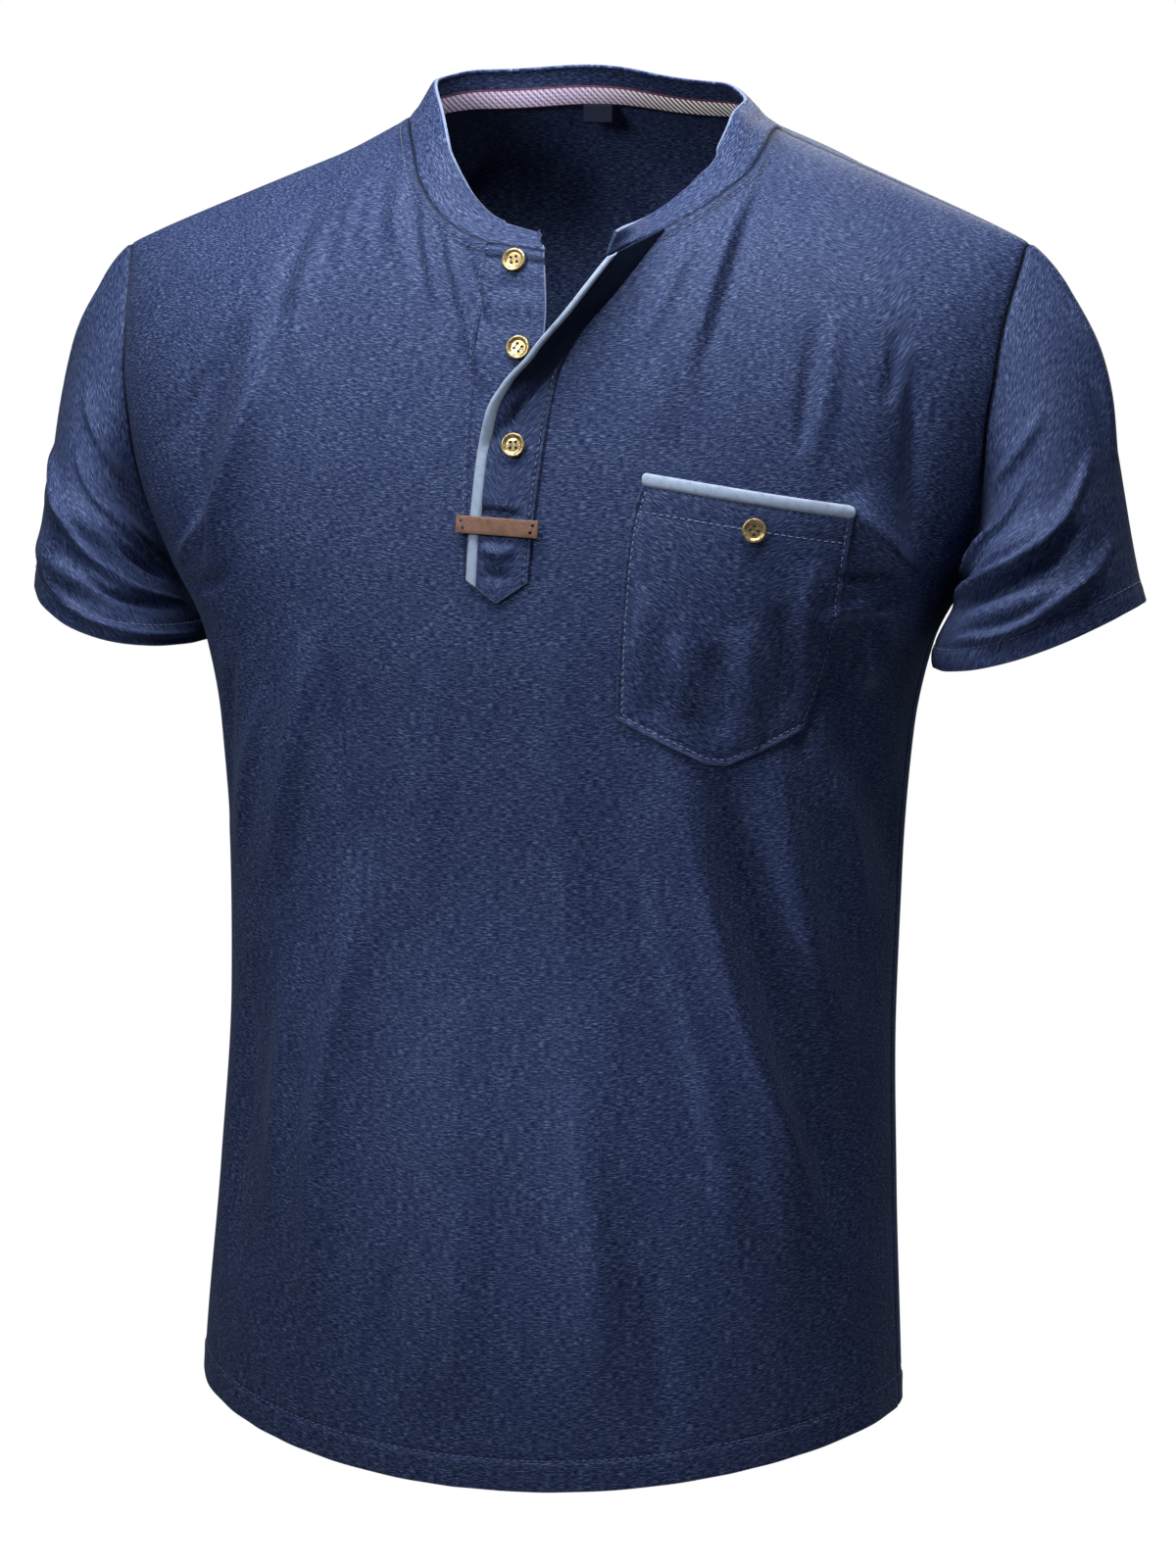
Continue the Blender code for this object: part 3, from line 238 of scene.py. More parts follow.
ROLL_RIGHT = 0.0026
ROLL_ACROSS = (0.03, 0.095, 0.115, 0.19)
ROLL_RISE_DROP = 0.009
ROLL_FADE_DROP = 0.035
UNDERARM_DROP = 0.238
HEM_SIDE_Z = -0.6475
HEM_CENTRE_Z = -0.6725
ARMHOLE_CUT_FRONT = math.radians(17.0)
ARMHOLE_CUT_BACK = math.radians(14.0)
ARMHOLE_DROP_POWER = 1.4
ARMHOLE_CUT_LEAN = 0.9
ARMHOLE_CUT_FULLNESS = 0.8
ARMHOLE_TOP_POWER = 6
ARMHOLE_LENGTH = 0.225
NECK_RIGHT = ((-NECK_REACH, -0.006), (-0.072, -0.0186), (-0.0565, -0.0398), (-0.0372, -0.0565),
              (-0.024, -0.0625), (-0.0155, -0.065))
NECK_LEFT = ((0.1035, -0.0126), (0.1048, -0.0185), (0.1034, -0.0288), (0.094, -0.0408),
             (0.082, -0.0505), (0.0685, -0.059))
NECK_BACK_Y = 0.072
SLIT_HALF = 0.0155
SLIT_FOOT_Z = -0.228
OPENING_LEFT = ((0.0155, -0.228), (0.0168, -0.205), (0.019, -0.18), (0.0215, -0.155),
                (0.025, -0.13), (0.033, -0.11), (0.051, -0.0855), (0.0685, -0.059))

# steps along each seam
SIDE_STEPS = 105
ARM_STEPS = 91
SHOULDER_STEPS = 36
NECK_STEPS = 40
SLIT_STEPS = 4
EDGE_HOLD = 4.0
COLUMN_SPREAD = 4.0

# large soft folds in mm: x and z of both ends, bow, half width, height; -1 is the front, 1 the back
BODY_FOLDS = (
    (78, -285, 166, -605, 4, 13, 10, -1),
    (128, -290, 163, -500, 2, 11, 8, -1),
    (108, -310, 145, -480, 2, 12, -6, -1),
    (-94, -245, -130, -395, 2, 12, 4, -1),
    (-62, -350, -98, -610, 7, 15, 5, -1),
    (-120, -100, -162, -235, -2, 11, 6.5, -1),
    (-148, -105, -167, -240, 7, 10, -5, -1),
    (98, -45, 76, -160, 0, 12, 3, -1),
    (166, -225, 160, -330, 0, 8, -6, -1),
    (140, -400, 160, -630, 0, 12, -5, -1),
    (-20, -430, -24, -640, 2, 20, 3.5, -1),
    (46, -400, 60, -640, 2, 18, 3.5, -1),
    (-130, -400, -146, -600, 2, 14, -4, -1),
    (192, -115, 193, -225, 0, 10, -4, -1),
    (170, -180, 192, -225, 0, 10, 5, -1),
    (150, -150, 135, -300, 4, 14, 5, 1),
    (-150, -150, -130, -310, -4, 14, 5, 1),
    (60, -330, 110, -460, -4, 20, 5, 1),
    (-70, -340, -115, -480, 4, 20, 5, 1),
    (-20, -480, -60, -630, 3, 24, 5, 1),
    (70, -520, 100, -650, -3, 24, 5, 1),
)

# fine creases in mm: x and z of each place on the line, half width on its left and right as it runs
# down, and height, which is below 0 in a trough
FRONT_CREASES = (
    ((81, -303, 96, -351, 112, -420, 134, -489, 167, -589), 7, 4, 1.6),
    ((131, -309, 137, -363, 147, -423, 157, -474), 6, 4, 1.2),
    ((112, -323, 125, -381, 137, -446), 5, 6, -1.2),
    ((70, -325, 85, -400, 106, -480, 120, -560), 12, 8, 1.6),
    ((150, -300, 161, -350, 166, -410), 5, 5, 1.4),
    ((163, -300, 172, -340, 175, -390), 4, 5, -1.2),
    ((107, -30, 101, -69, 90, -134), 4, 6, 1.3),
    ((109, -47, 104, -79, 94, -129), 4, 4, -1),
    ((86, -60, 78, -85, 66, -115), 4, 6, 0.8),
    ((147, -100, 146, -130, 144, -165), 5, 4, -1.4),
    ((156, -95, 155, -130, 150, -170), 5, 6, 1),
    ((183, -105, 184, -120, 182, -142), 4, 4, -1.2),
    ((192, -120, 194, -165, 193, -212), 4, 4, -1.6),
    ((165, -185, 180, -205, 192, -228), 5, 4, 2.2),
    ((160, -222, 176, -224, 192, -222), 4, 4, -1.8),
    ((150, -246, 166, -240, 188, -238), 5, 4, 1.4),
    ((172, -244, 172, -258, 170, -282), 5, 4, 1.8),
    ((158, -262, 152, -285, 142, -315), 5, 5, -1.3),
    ((-92, -34, -94, -50, -96, -78), 3, 3, 0.9),
    ((-81, -27, -78, -45, -75, -72), 3, 3, -0.9),
    ((-70, -31, -67, -50, -62, -78), 3, 4, 1),
    ((-62, -40, -54, -62, -45, -92), 3, 3, -1),
    ((-54, -48, -46, -68, -36, -96), 3, 4, 1.1),
    ((-46, -55, -36, -78, -22, -112), 3, 3, -1.3),
    ((-39, -59, -26, -90, -9, -134), 3, 5, 1.2),
    ((-30, -64, -20, -84, -10, -110), 3, 3, -1),
    ((-115, -45, -125, -83, -129, -149), 4, 6, -1.8),
    ((-106, -52, -112, -88, -114, -135), 6, 4, 1.4),
    ((-122, -105, -134, -149, -161, -222), 5, 4, 1.8),
    ((-145, -105, -160, -155, -166, -222), 4, 4, -1.8),
    ((-160, -125, -172, -145, -184, -172), 4, 4, -1.2),
    ((-152, -190, -168, -210, -186, -232), 4, 4, 1.8),
    ((-146, -228, -160, -236, -182, -242), 4, 4, -1.4),
    ((-97, -258, -110, -333, -126, -385), 6, 8, 1.4),
    ((-86, -265, -85, -300, -83, -340), 5, 5, -1),
    ((-125, -285, -140, -325, -152, -380), 6, 8, 1.3),
    ((-148, -270, -158, -310, -164, -365), 5, 5, -1.2),
    ((-68, -370, -79, -428, -93, -504, -96, -590), 7, 10, 1.5),
    ((-105, -410, -120, -480, -128, -560), 8, 10, 1.3),
    ((-140, -420, -150, -500, -156, -590), 8, 8, -1.2),
    ((-10, -520, -13, -575, -11, -630), 10, 10, 1.2),
    ((40, -470, 52, -545, 58, -625), 12, 10, 1.2),
    ((72, -560, 84, -600, 90, -650), 8, 8, -1),
    ((-50, -560, -56, -600, -58, -655), 8, 8, -1),
    ((28, -250, 36, -330, 40, -420), 12, 12, 0.8),
    ((-30, -245, -34, -320, -40, -400), 12, 12, 0.8),
)
BACK_CREASES = (
    ((-60, -20, -85, -50, -120, -85), 6, 8, 1.4),
    ((66, -22, 90, -48, 128, -80), 8, 6, 1.4),
    ((-20, -45, -24, -80, -20, -120), 10, 10, 0.3),
    ((30, -45, 36, -85, 32, -130), 10, 10, -0.2),
    ((-150, -120, -146, -170, -128, -230), 6, 6, 2),
    ((-165, -130, -164, -180, -150, -235), 5, 5, -1.8),
    ((-186, -190, -168, -215, -140, -250), 5, 5, 2),
    ((-180, -228, -160, -245, -128, -272), 5, 5, -1.4),
    ((155, -118, 150, -165, 134, -225), 6, 6, 2),
    ((168, -128, 166, -178, 152, -232), 5, 5, -1.8),
    ((188, -192, 172, -216, 146, -248), 5, 5, 2),
    ((182, -230, 162, -247, 132, -270), 5, 5, -1.4),
    ((-110, -300, -124, -350, -134, -410), 7, 6, 1.6),
    ((-136, -290, -148, -340, -154, -400), 6, 6, -1.3),
    ((106, -290, 122, -345, 130, -410), 7, 6, 1.6),
    ((134, -300, 146, -350, 152, -400), 6, 6, -1.3),
    ((-40, -300, -56, -380, -74, -470), 10, 12, 1.4),
    ((36, -310, 50, -390, 72, -480), 12, 10, 1.4),
    ((-90, -450, -104, -530, -110, -620), 10, 10, 1.6),
    ((88, -440, 102, -520, 112, -610), 10, 10, 1.6),
    ((-140, -440, -150, -520, -154, -610), 8, 8, -1.2),
    ((140, -430, 150, -510, 154, -600), 8, 8, -1.2),
    ((4, -430, 10, -520, 6, -630), 14, 14, 1.2),
    ((40, -560, 46, -600, 50, -650), 8, 8, -1),
    ((-44, -550, -48, -600, -50, -650), 8, 8, -1),
)


def smooth_through(keys, values, at):
    """Value of a smooth curve through the given rows, without overshoot, at each place in `at`."""
    keys = np.asarray(keys, float)
    values = np.asarray(values, float)
    at = np.clip(np.asarray(at, float), keys[0], keys[-1])
    step = np.diff(keys)
    slope = np.diff(values) / step
    tangent = np.empty_like(values)
    tangent[0] = slope[0]
    tangent[-1] = slope[-1]
    for i in range(1, len(values) - 1):
        if slope[i - 1] * slope[i] <= 0:
            tangent[i] = 0.0
        else:
            w0 = 2 * step[i] + step[i - 1]
            w1 = step[i] + 2 * step[i - 1]
            tangent[i] = (w0 + w1) / (w0 / slope[i - 1] + w1 / slope[i])
    i = np.clip(np.searchsorted(keys, at, side="right") - 1, 0, len(step) - 1)
    f = (at - keys[i]) / step[i]
    h = step[i]
    return ((1 + 2 * f) * (1 - f) ** 2 * values[i] + f * (1 - f) ** 2 * h * tangent[i]
            + f * f * (3 - 2 * f) * values[i + 1] + f * f * (f - 1) * h * tangent[i + 1])


def held(share):
    return np.clip(share, 0.0, 1.0)


def eased(share):
    """A share from 0 to 1 made to start and end softly."""
    return share * share * (3 - 2 * share)


def hump(off, wide):
    """1 at the middle of a rounded ridge, falling to 0 beyond about twice its half width."""
    return np.exp(-(off / wide) ** 2)


def unit(vectors):
    return vectors / np.linalg.norm(vectors, axis=-1, keepdims=True)


def lengths_along(curve):
    return np.concatenate([[0.0], np.cumsum(np.linalg.norm(np.diff(curve, axis=0), axis=1))])


def evenly(curve, count):
    """`count` + 1 points spaced evenly along a polyline."""
    reach = lengths_along(curve)
    want = np.linspace(0.0, reach[-1], count + 1)
    return np.stack([np.interp(want, reach, curve[:, k]) for k in range(curve.shape[1])], axis=1)


def along(rows, count):
    """`count` + 1 points spaced evenly along a smooth curve through the rows."""
    rows = np.asarray(rows, float)
    reach = lengths_along(rows)
    fine = np.linspace(0.0, reach[-1], 40 * len(rows))
    curve = np.stack([smooth_through(reach, rows[:, k], fine) for k in range(rows.shape[1])], axis=1)
    return evenly(curve, count)


TABLE = np.array(SECTIONS)


def section(name, drop):
    """A column of the section table at the given drops below the crest."""
    return smooth_through(np.sqrt(TABLE[:, 0]), TABLE[:, SECTION_COLUMNS.index(name)],
                          np.sqrt(np.maximum(drop, 0)))


def shoulder_fall(x):
    """How far the shoulder line has fallen at x; the wearer's right shoulder hangs a little lower."""
    reach = np.abs(x)
    line = np.hypot(reach, SHOULDER_BEND) - math.hypot(NECK_REACH, SHOULDER_BEND)
    rounding = SHOULDER_ROUND * np.maximum(reach - SHOULDER_ROUND_FROM, 0.0) ** 2
    share = held((-x - NECK_REACH + LOWER_BEFORE_NECK) / LOWER_OVER)
    lower = RIGHT_SHOULDER_LOWER * eased(share)
    return SHOULDER_TOP_FALL + SHOULDER_SLOPE * line + rounding + lower


def height_at(x, drop):
    return -drop - section("slope", drop) * shoulder_fall(x)


def drop_for(x, z):
    """The drop at which the surface over x is at height z."""
    x, z = np.broadcast_arrays(np.asarray(x, float), np.asarray(z, float))
    low = np.zeros(x.shape)
    high = np.full(x.shape, TABLE[-1, 0])
    for _ in range(40):
        middle = (low + high) / 2
        above = height_at(x, middle) > z
        low = np.where(above, middle, low)
        high = np.where(above, high, middle)
    return (low + high) / 2


def bare_surface(angle, drop):
    """Body surface: angle 0 is centre front, 90 degrees the wearer's left side, 180 centre back."""
    x = section("half", drop) * np.sin(angle) - section("right", drop)
    depth = np.where(np.cos(angle) >= 0, section("front", drop), section("back", drop))
    full = 1 + section("full", drop) * np.sin(angle) ** 2
    lean = CREST_TO_FRONT * section("slope", drop) * np.maximum(np.abs(x) - NECK_REACH, 0.0)
    y = section("middle", drop) - depth * np.cos(angle) * full - lean
    return np.stack([x, y, height_at(x, drop)], axis=-1)


def soft_ridge(u, v, start, end, bow, wide, high):
    """Height of a ridge along a bowed line, rounded across and fading out at both ends."""
    du = end[0] - start[0]
    dv = end[1] - start[1]
    length = math.hypot(du, dv)
    t = ((u - start[0]) * du + (v - start[1]) * dv) / length ** 2
    off = ((u - start[0]) * dv - (v - start[1]) * du) / length
    ends = held(1 - (2 * t - 1) ** 2)
    return high * ends * hump(off - bow * ends, wide)


CREASE_DEEP = 3.0
CREASE_PARTS = 14
CREASE_WIDE = 0.8
SIDE_CALM = 0.12


def crease_height(u, v, creases, table_step=(MM, MM)):
    """Height of the fine creases: each follows a smooth line and has its own slope on either side.

    `table_step` is the length of one step of the table across and along.
    """
    total = np.zeros(u.shape)
    for places, *sizes in creases:
        line = along(np.reshape(places, (-1, 2)) * table_step, CREASE_PARTS)
        left, right, high = (MM * size for size in sizes)
        far = 3.0 * max(left, right)
        close = ((u > line[:, 0].min() - far) & (u < line[:, 0].max() + far)
                 & (v > line[:, 1].min() - far) & (v < line[:, 1].max() + far))
        if not close.any():
            continue
        x = u[close]
        y = v[close]
        best = np.full(x.shape, 1.0)
        side = np.zeros(x.shape)
        run = np.zeros(x.shape)
        for k in range(len(line) - 1):
            du, dv = line[k + 1] - line[k]
            t = held(((x - line[k, 0]) * du + (y - line[k, 1]) * dv) / (du * du + dv * dv))
            ox = x - line[k, 0] - t * du
            oy = y - line[k, 1] - t * dv
            away = np.hypot(ox, oy)
            nearer = away < best
            best = np.where(nearer, away, best)
            side = np.where(nearer, du * oy - dv * ox, side)
            run = np.where(nearer, (k + t) / (len(line) - 1), run)
        wide = np.where(side > 0, left, right)
        total[close] += CREASE_DEEP * high * np.sin(math.pi * run) ** 0.8 * hump(best / wide, CREASE_WIDE)
    return total


def shoulder_roll(x, drop):
    """Height of the back's roll behind the shoulder seams."""
    across = np.interp(np.abs(x), ROLL_ACROSS, (0.0, 1.0, 1.0, 0.0))
    across = eased(across)
    behind = held(drop / ROLL_RISE_DROP)
    behind = eased(behind)
    fade = hump(np.maximum(drop - ROLL_RISE_DROP, 0.0), ROLL_FADE_DROP)
    return np.where(x > 0, ROLL_LEFT, ROLL_RIGHT) * across * behind * fade


def body_normal(angle, drop):
    """Outward direction of the bare surface; at the shoulder crest it is the crest's own."""
    safe = np.maximum(drop, 4e-4)
    du = bare_surface(angle + 1e-3, safe) - bare_surface(angle - 1e-3, safe)
    dv = bare_surface(angle, safe + 1e-4) - bare_surface(angle, safe - 1e-4)
    normal = np.cross(dv, du)
    normal = unit(normal)
    x = bare_surface(angle, np.zeros_like(safe))[..., 0]
    rise = (shoulder_fall(x + 1e-4) - shoulder_fall(x - 1e-4)) / 2e-4
    crest = np.stack([rise, np.zeros_like(x), np.ones_like(x)], axis=-1)
    crest = unit(crest)
    blend = held(drop / 0.004)[..., None]
    normal = crest * (1 - blend) + normal * blend
    return unit(normal)


def body_surface(angle, drop, out=0.0):
    """Surface with its folds and creases, moved out by `out`, and the outward directions."""
    point = bare_surface(angle, drop)
    normal = body_normal(angle, drop)
    x = point[..., 0]
    z = point[..., 2]
    side = np.where(np.cos(angle) >= 0, -1, 1)
    lift = np.where(side > 0, shoulder_roll(x, drop), 0.0) + out
    calm = held(np.abs(np.cos(angle)) / SIDE_CALM)
    calm = eased(calm)
    for *line, where in BODY_FOLDS:
        x0, z0, x1, z1, bow, wide, high = (MM * place for place in line)
        swell = soft_ridge(x, z, (x0, z0), (x1, z1), bow, wide, high)
        lift = lift + np.where(side == where, swell, 0.0) * calm
    for where, creases in ((-1, FRONT_CREASES), (1, BACK_CREASES)):
        if (side == where).any():
            lift = lift + np.where(side == where, crease_height(x, z, creases), 0.0) * calm
    return point + normal * np.asarray(lift)[..., None], normal


def front_angle(x, drop):
    """The angle at which the front reaches x at a drop."""
    return np.arcsin(np.clip((x + section("right", drop)) / section("half", drop), -1.0, 1.0))


def front_at(x, z, out=0.0):
    """Points of the front over (x, z), moved out by `out`, and the outward directions."""
    drop = drop_for(x, z)
    return body_surface(front_angle(x, drop), drop, out)


def to_domain(rows):
    """Neck or opening rows (x, z) as (angle away from the middle, drop)."""
    rows = np.asarray(rows, float)
    drop = drop_for(rows[:, 0], rows[:, 1])
    return np.stack([np.abs(front_angle(rows[:, 0], drop)), drop], axis=1)


def armhole(front):
    """Armhole in (angle from the front or back middle, drop), from the underarm to the shoulder point."""
    cut = ARMHOLE_CUT_FRONT if front else ARMHOLE_CUT_BACK
    q = np.linspace(0.0, 1.0, 400)
    drop = UNDERARM_DROP * (1 - q) ** ARMHOLE_DROP_POWER
    angle = math.pi / 2 - cut * np.sin(math.pi * q ** ARMHOLE_CUT_LEAN) ** ARMHOLE_CUT_FULLNESS
    top = math.asin(SHOULDER_POINT_X / TABLE[0, 1])
    angle = angle - (math.pi / 2 - top) * q ** ARMHOLE_TOP_POWER
    reach = lengths_along(bare_surface(angle, drop))
    want = np.linspace(0.0, reach[-1], ARM_STEPS + 1)
    return np.stack([np.interp(want, reach, angle), np.interp(want, reach, drop)], axis=1)


def hem_drop(angle):
    """The hem hangs lowest at the middle of the front and back."""
    lift = np.sin(angle) ** 2
    return -(HEM_CENTRE_Z * (1 - lift) + HEM_SIDE_Z * lift)


def coons(inner, outer, bottom, top, hold=1.0, spread=1.0):
    """Grid between four edges: inner and outer run up, bottom and top run outwards."""
    c = np.linspace(0, 1, len(bottom))[:, None, None]
    r = np.linspace(0, 1, len(inner))[None, :, None]
    r = np.concatenate([r ** spread, r], axis=-1)
    bend_in = inner[None] - (1 - r) * bottom[0] - r * top[0]
    bend_out = outer[None] - (1 - r) * bottom[-1] - r * top[-1]
    ruled = (1 - r) * bottom[:, None] + r * top[:, None]
    return ruled + (1 - c) ** hold * bend_in + c ** hold * bend_out


# places of the extra lines beside an edge, and of those round the hem's stitching, in steps
BESIDE_EDGE = (0.0, 0.18, 0.42, 0.75, 1.25)
HEM_LINES = 7


def with_lines(grid, places):
    """The grid taken again at fractional places of its first axis."""
    low = np.clip(np.floor(places).astype(int), 0, len(grid) - 2)
    f = (places - low).reshape((-1,) + (1,) * (grid.ndim - 1))
    return grid[low] * (1 - f) + grid[low + 1] * f


def closer_at_ends(count, start=BESIDE_EDGE):
    """Places 0 to count, with closer ones beside both ends."""
    first = math.ceil(start[-1] + 0.5)
    return np.concatenate([start, np.arange(first, count - 1), count - np.array(BESIDE_EDGE)[::-1]])


ROW_PLACES = closer_at_ends(SIDE_STEPS + ARM_STEPS, np.arange(0, 3 * HEM_LINES) / 3)


def half_panel(inner, neck, front):
    """Half of a panel for the wearer's left; `inner` runs up from the hem and `neck` from it outwards."""
    side = np.stack([np.full(SIDE_STEPS + 1, math.pi / 2),
                     np.linspace(hem_drop(math.pi / 2), UNDERARM_DROP, SIDE_STEPS + 1)], axis=1)
    outer = np.concatenate([side, armhole(front)[1:]])
    x = np.linspace(TABLE[0, 1] * math.sin(neck[-1, 0]), SHOULDER_POINT_X, SHOULDER_STEPS + 1)
    shoulder = np.stack([np.arcsin(x / TABLE[0, 1]), np.zeros(len(x))], axis=1)
    top = np.concatenate([neck, shoulder[1:]])
    angles = np.linspace(inner[0, 0], math.pi / 2, len(top))
    bottom = np.stack([angles, hem_drop(angles)], axis=1)
    grid = coons(inner, outer, bottom, top, EDGE_HOLD, COLUMN_SPREAD)
    return with_lines(grid, closer_at_ends(len(grid) - 1))


def mirrored(grid):
    """The same grid on the wearer's right."""
    other = grid.copy()
    other[..., 0] *= -1
    return other[::-1]


def neck_half(neck):
    """Half of the front neckline from the slit to the shoulder seam, in (angle, drop)."""
    curve = to_domain(along(neck[::-1], NECK_STEPS))
    curve[-1] = (math.asin(abs(neck[0][0]) / TABLE[0, 1]), 0.0)
    return curve


def front_grid():
    """Front panel's grid of (angle, drop), which quads it has, and the columns beside the slit."""
    total = SIDE_STEPS + ARM_STEPS
    side_length = -HEM_SIDE_Z - UNDERARM_DROP
    foot = round(total * (-HEM_CENTRE_Z + SLIT_FOOT_Z) / (side_length + ARMHOLE_LENGTH))
    halves = []
    for edge, neck in ((None, NECK_RIGHT), (OPENING_LEFT, NECK_LEFT)):
        low_z = np.linspace(HEM_CENTRE_Z, SLIT_FOOT_Z, foot + 1)
        low = np.stack([np.full(len(low_z), SLIT_HALF), low_z], axis=1)
        if edge is None:
            high = along(((SLIT_HALF, SLIT_FOOT_Z), (SLIT_HALF, NECK_RIGHT[-1][1])), total - foot)
            high[:, 0] *= -1
            low[:, 0] *= -1
        else:
            high = along(edge, total - foot)
        inner = to_domain(np.concatenate([low, high[1:]]))
        inner[0, 1] = hem_drop(inner[0, 0])
        neck_curve = neck_half(neck)
        inner[-1] = neck_curve[0]
        halves.append(half_panel(inner, neck_curve, True))
    right = mirrored(halves[0])
    left = halves[1]
    share = np.linspace(0, 1, SLIT_STEPS + 1)[1:-1, None, None]
    middle = right[-1][None] * (1 - share) + left[0][None] * share
    grid = np.concatenate([right, middle, left])
    grid = with_lines(grid.swapaxes(0, 1), ROW_PLACES).swapaxes(0, 1)
    present = np.ones((grid.shape[0] - 1, grid.shape[1] - 1), bool)
    slit_rows = ROW_PLACES[:-1] > foot - 0.5
    present[len(right) - 1:len(right) - 1 + SLIT_STEPS, slit_rows] = False
    return grid, present, (len(right) - 1, len(right) - 1 + SLIT_STEPS)


def reach_from(points, curves):
    """Each point's distance from the nearest of some curves."""
    dots = np.concatenate([evenly(curve, int(lengths_along(curve)[-1] / 0.0004) + 2) for curve in curves])
    tree = KDTree(len(dots))
    for k, dot in enumerate(dots):
        tree.insert(dot, k)
    tree.balance()
    flat = points.reshape(-1, 3)
    return np.array([tree.find(p)[2] for p in flat]).reshape(points.shape[:-1])


def lay_flat(outer, ring=False):
    """Each point's place on the cloth laid flat, in metres: across or round it, and up it."""
    closed = np.concatenate([outer, outer[:1]]) if ring else outer
    across = np.linalg.norm(np.diff(closed, axis=0), axis=-1)
    u = np.concatenate([np.zeros((1, outer.shape[1])), np.cumsum(across, axis=0)])
    u = u - u[len(u) // 2]
    up = np.linalg.norm(np.diff(closed, axis=1), axis=-1)
    v = np.concatenate([np.zeros((len(closed), 1)), np.cumsum(up, axis=1)], axis=1)
    return np.stack([u, v], axis=-1)


# painted shade laid on every point of the inner face, darkening the inside seen through the neck
INSIDE_PAINTED_SHADE = -0.12


def cloth(name, outer, normal, thick, paint, uv=None, present=None, ring=False, painted_light=None):
    """A sheet with an outer and an inner face and rounded free edges.

    `present` leaves quads out and `ring` joins the last column to the first. The last argument is
    above 0 for a painted highlight along an edge and below 0 for painted shade in a seam or groove.
    """
    columns, rows = outer.shape[:2]
    spans = columns if ring else columns - 1
    if present is None:
        present = np.ones((spans, rows - 1), bool)
    if uv is None:
        uv = lay_flat(outer, ring)
    count = columns * rows
    place = np.arange(count).reshape(columns, rows)
    i, j = np.nonzero(present)
    n = (i + 1) % columns
    quads = np.stack([place[i, j], place[n, j], place[n, j + 1], place[i, j + 1]], axis=1)
    spots = np.stack([uv[i, j], uv[i + 1, j], uv[i + 1, j + 1], uv[i, j + 1]], axis=1)
    points = outer.reshape(-1, 3)
    away = normal.reshape(-1, 3)
    a, b, c = (points[quads[:, k]] for k in range(3))
    if np.einsum("ij,ij->", np.cross(b - a, c - a), away[quads[:, 0]]) < 0:
        quads = quads[:, ::-1]
        spots = spots[:, ::-1]
    starts = quads.ravel()
    ends = np.roll(quads, -1, axis=1).ravel()
    rim = ~np.isin(starts * count + ends, ends * count + starts)
    start_spots = spots.reshape(-1, 2)[rim]
    end_spots = np.roll(spots, -1, axis=1).reshape(-1, 2)[rim]
    start = starts[rim]
    end = ends[rim]
    depth = np.broadcast_to(thick, outer.shape[:2]).reshape(-1, 1)
    inner = points - away * depth
    beyond = np.cross(points[end] - points[start], away[start])
    outwards = np.zeros((count, 3))
    np.add.at(outwards, start, beyond)
    np.add.at(outwards, end, beyond)
    outwards /= np.maximum(np.linalg.norm(outwards, axis=1, keepdims=True), 1e-9)
    middle = (points + inner) / 2 + outwards * depth * 0.45
    verts = np.concatenate([points, inner, middle])
    faces = np.concatenate([quads, quads[:, ::-1] + count,
                            np.stack([end, start, start + 2 * count, end + 2 * count], axis=1),
                            np.stack([end + 2 * count, start + 2 * count,
                                       start + count, end + count], axis=1)])
    rim_spots = np.stack([end_spots, start_spots, start_spots, end_spots], axis=1)
    spots = np.concatenate([spots, spots[:, ::-1], rim_spots, rim_spots])
    if painted_light is None:
        painted_light = np.zeros(outer.shape[:2])
    painted_light_all = np.concatenate([painted_light.ravel(), np.full(count, INSIDE_PAINTED_SHADE), painted_light.ravel()])
    used, faces = np.unique(faces, return_inverse=True)
    return new_cloth(name, verts[used], faces.reshape(-1, 4), spots, painted_light_all[used], paint)


def new_cloth(name, verts, faces, spots, painted_light_all, paint):
    mesh = bpy.data.meshes.new(name)
    mesh.from_pydata(verts.tolist(), [], faces.tolist())
    mesh.uv_layers.new(name="cloth").data.foreach_set("uv", spots.astype(np.float32).ravel())
    mesh.attributes.new("painted_light", "FLOAT", "POINT").data.foreach_set("value", painted_light_all.astype(np.float32))
    mesh.shade_smooth()
    thing = bpy.data.objects.new(name, mesh)
    bpy.context.scene.collection.objects.link(thing)
    mesh.materials.append(paint)
    return thing


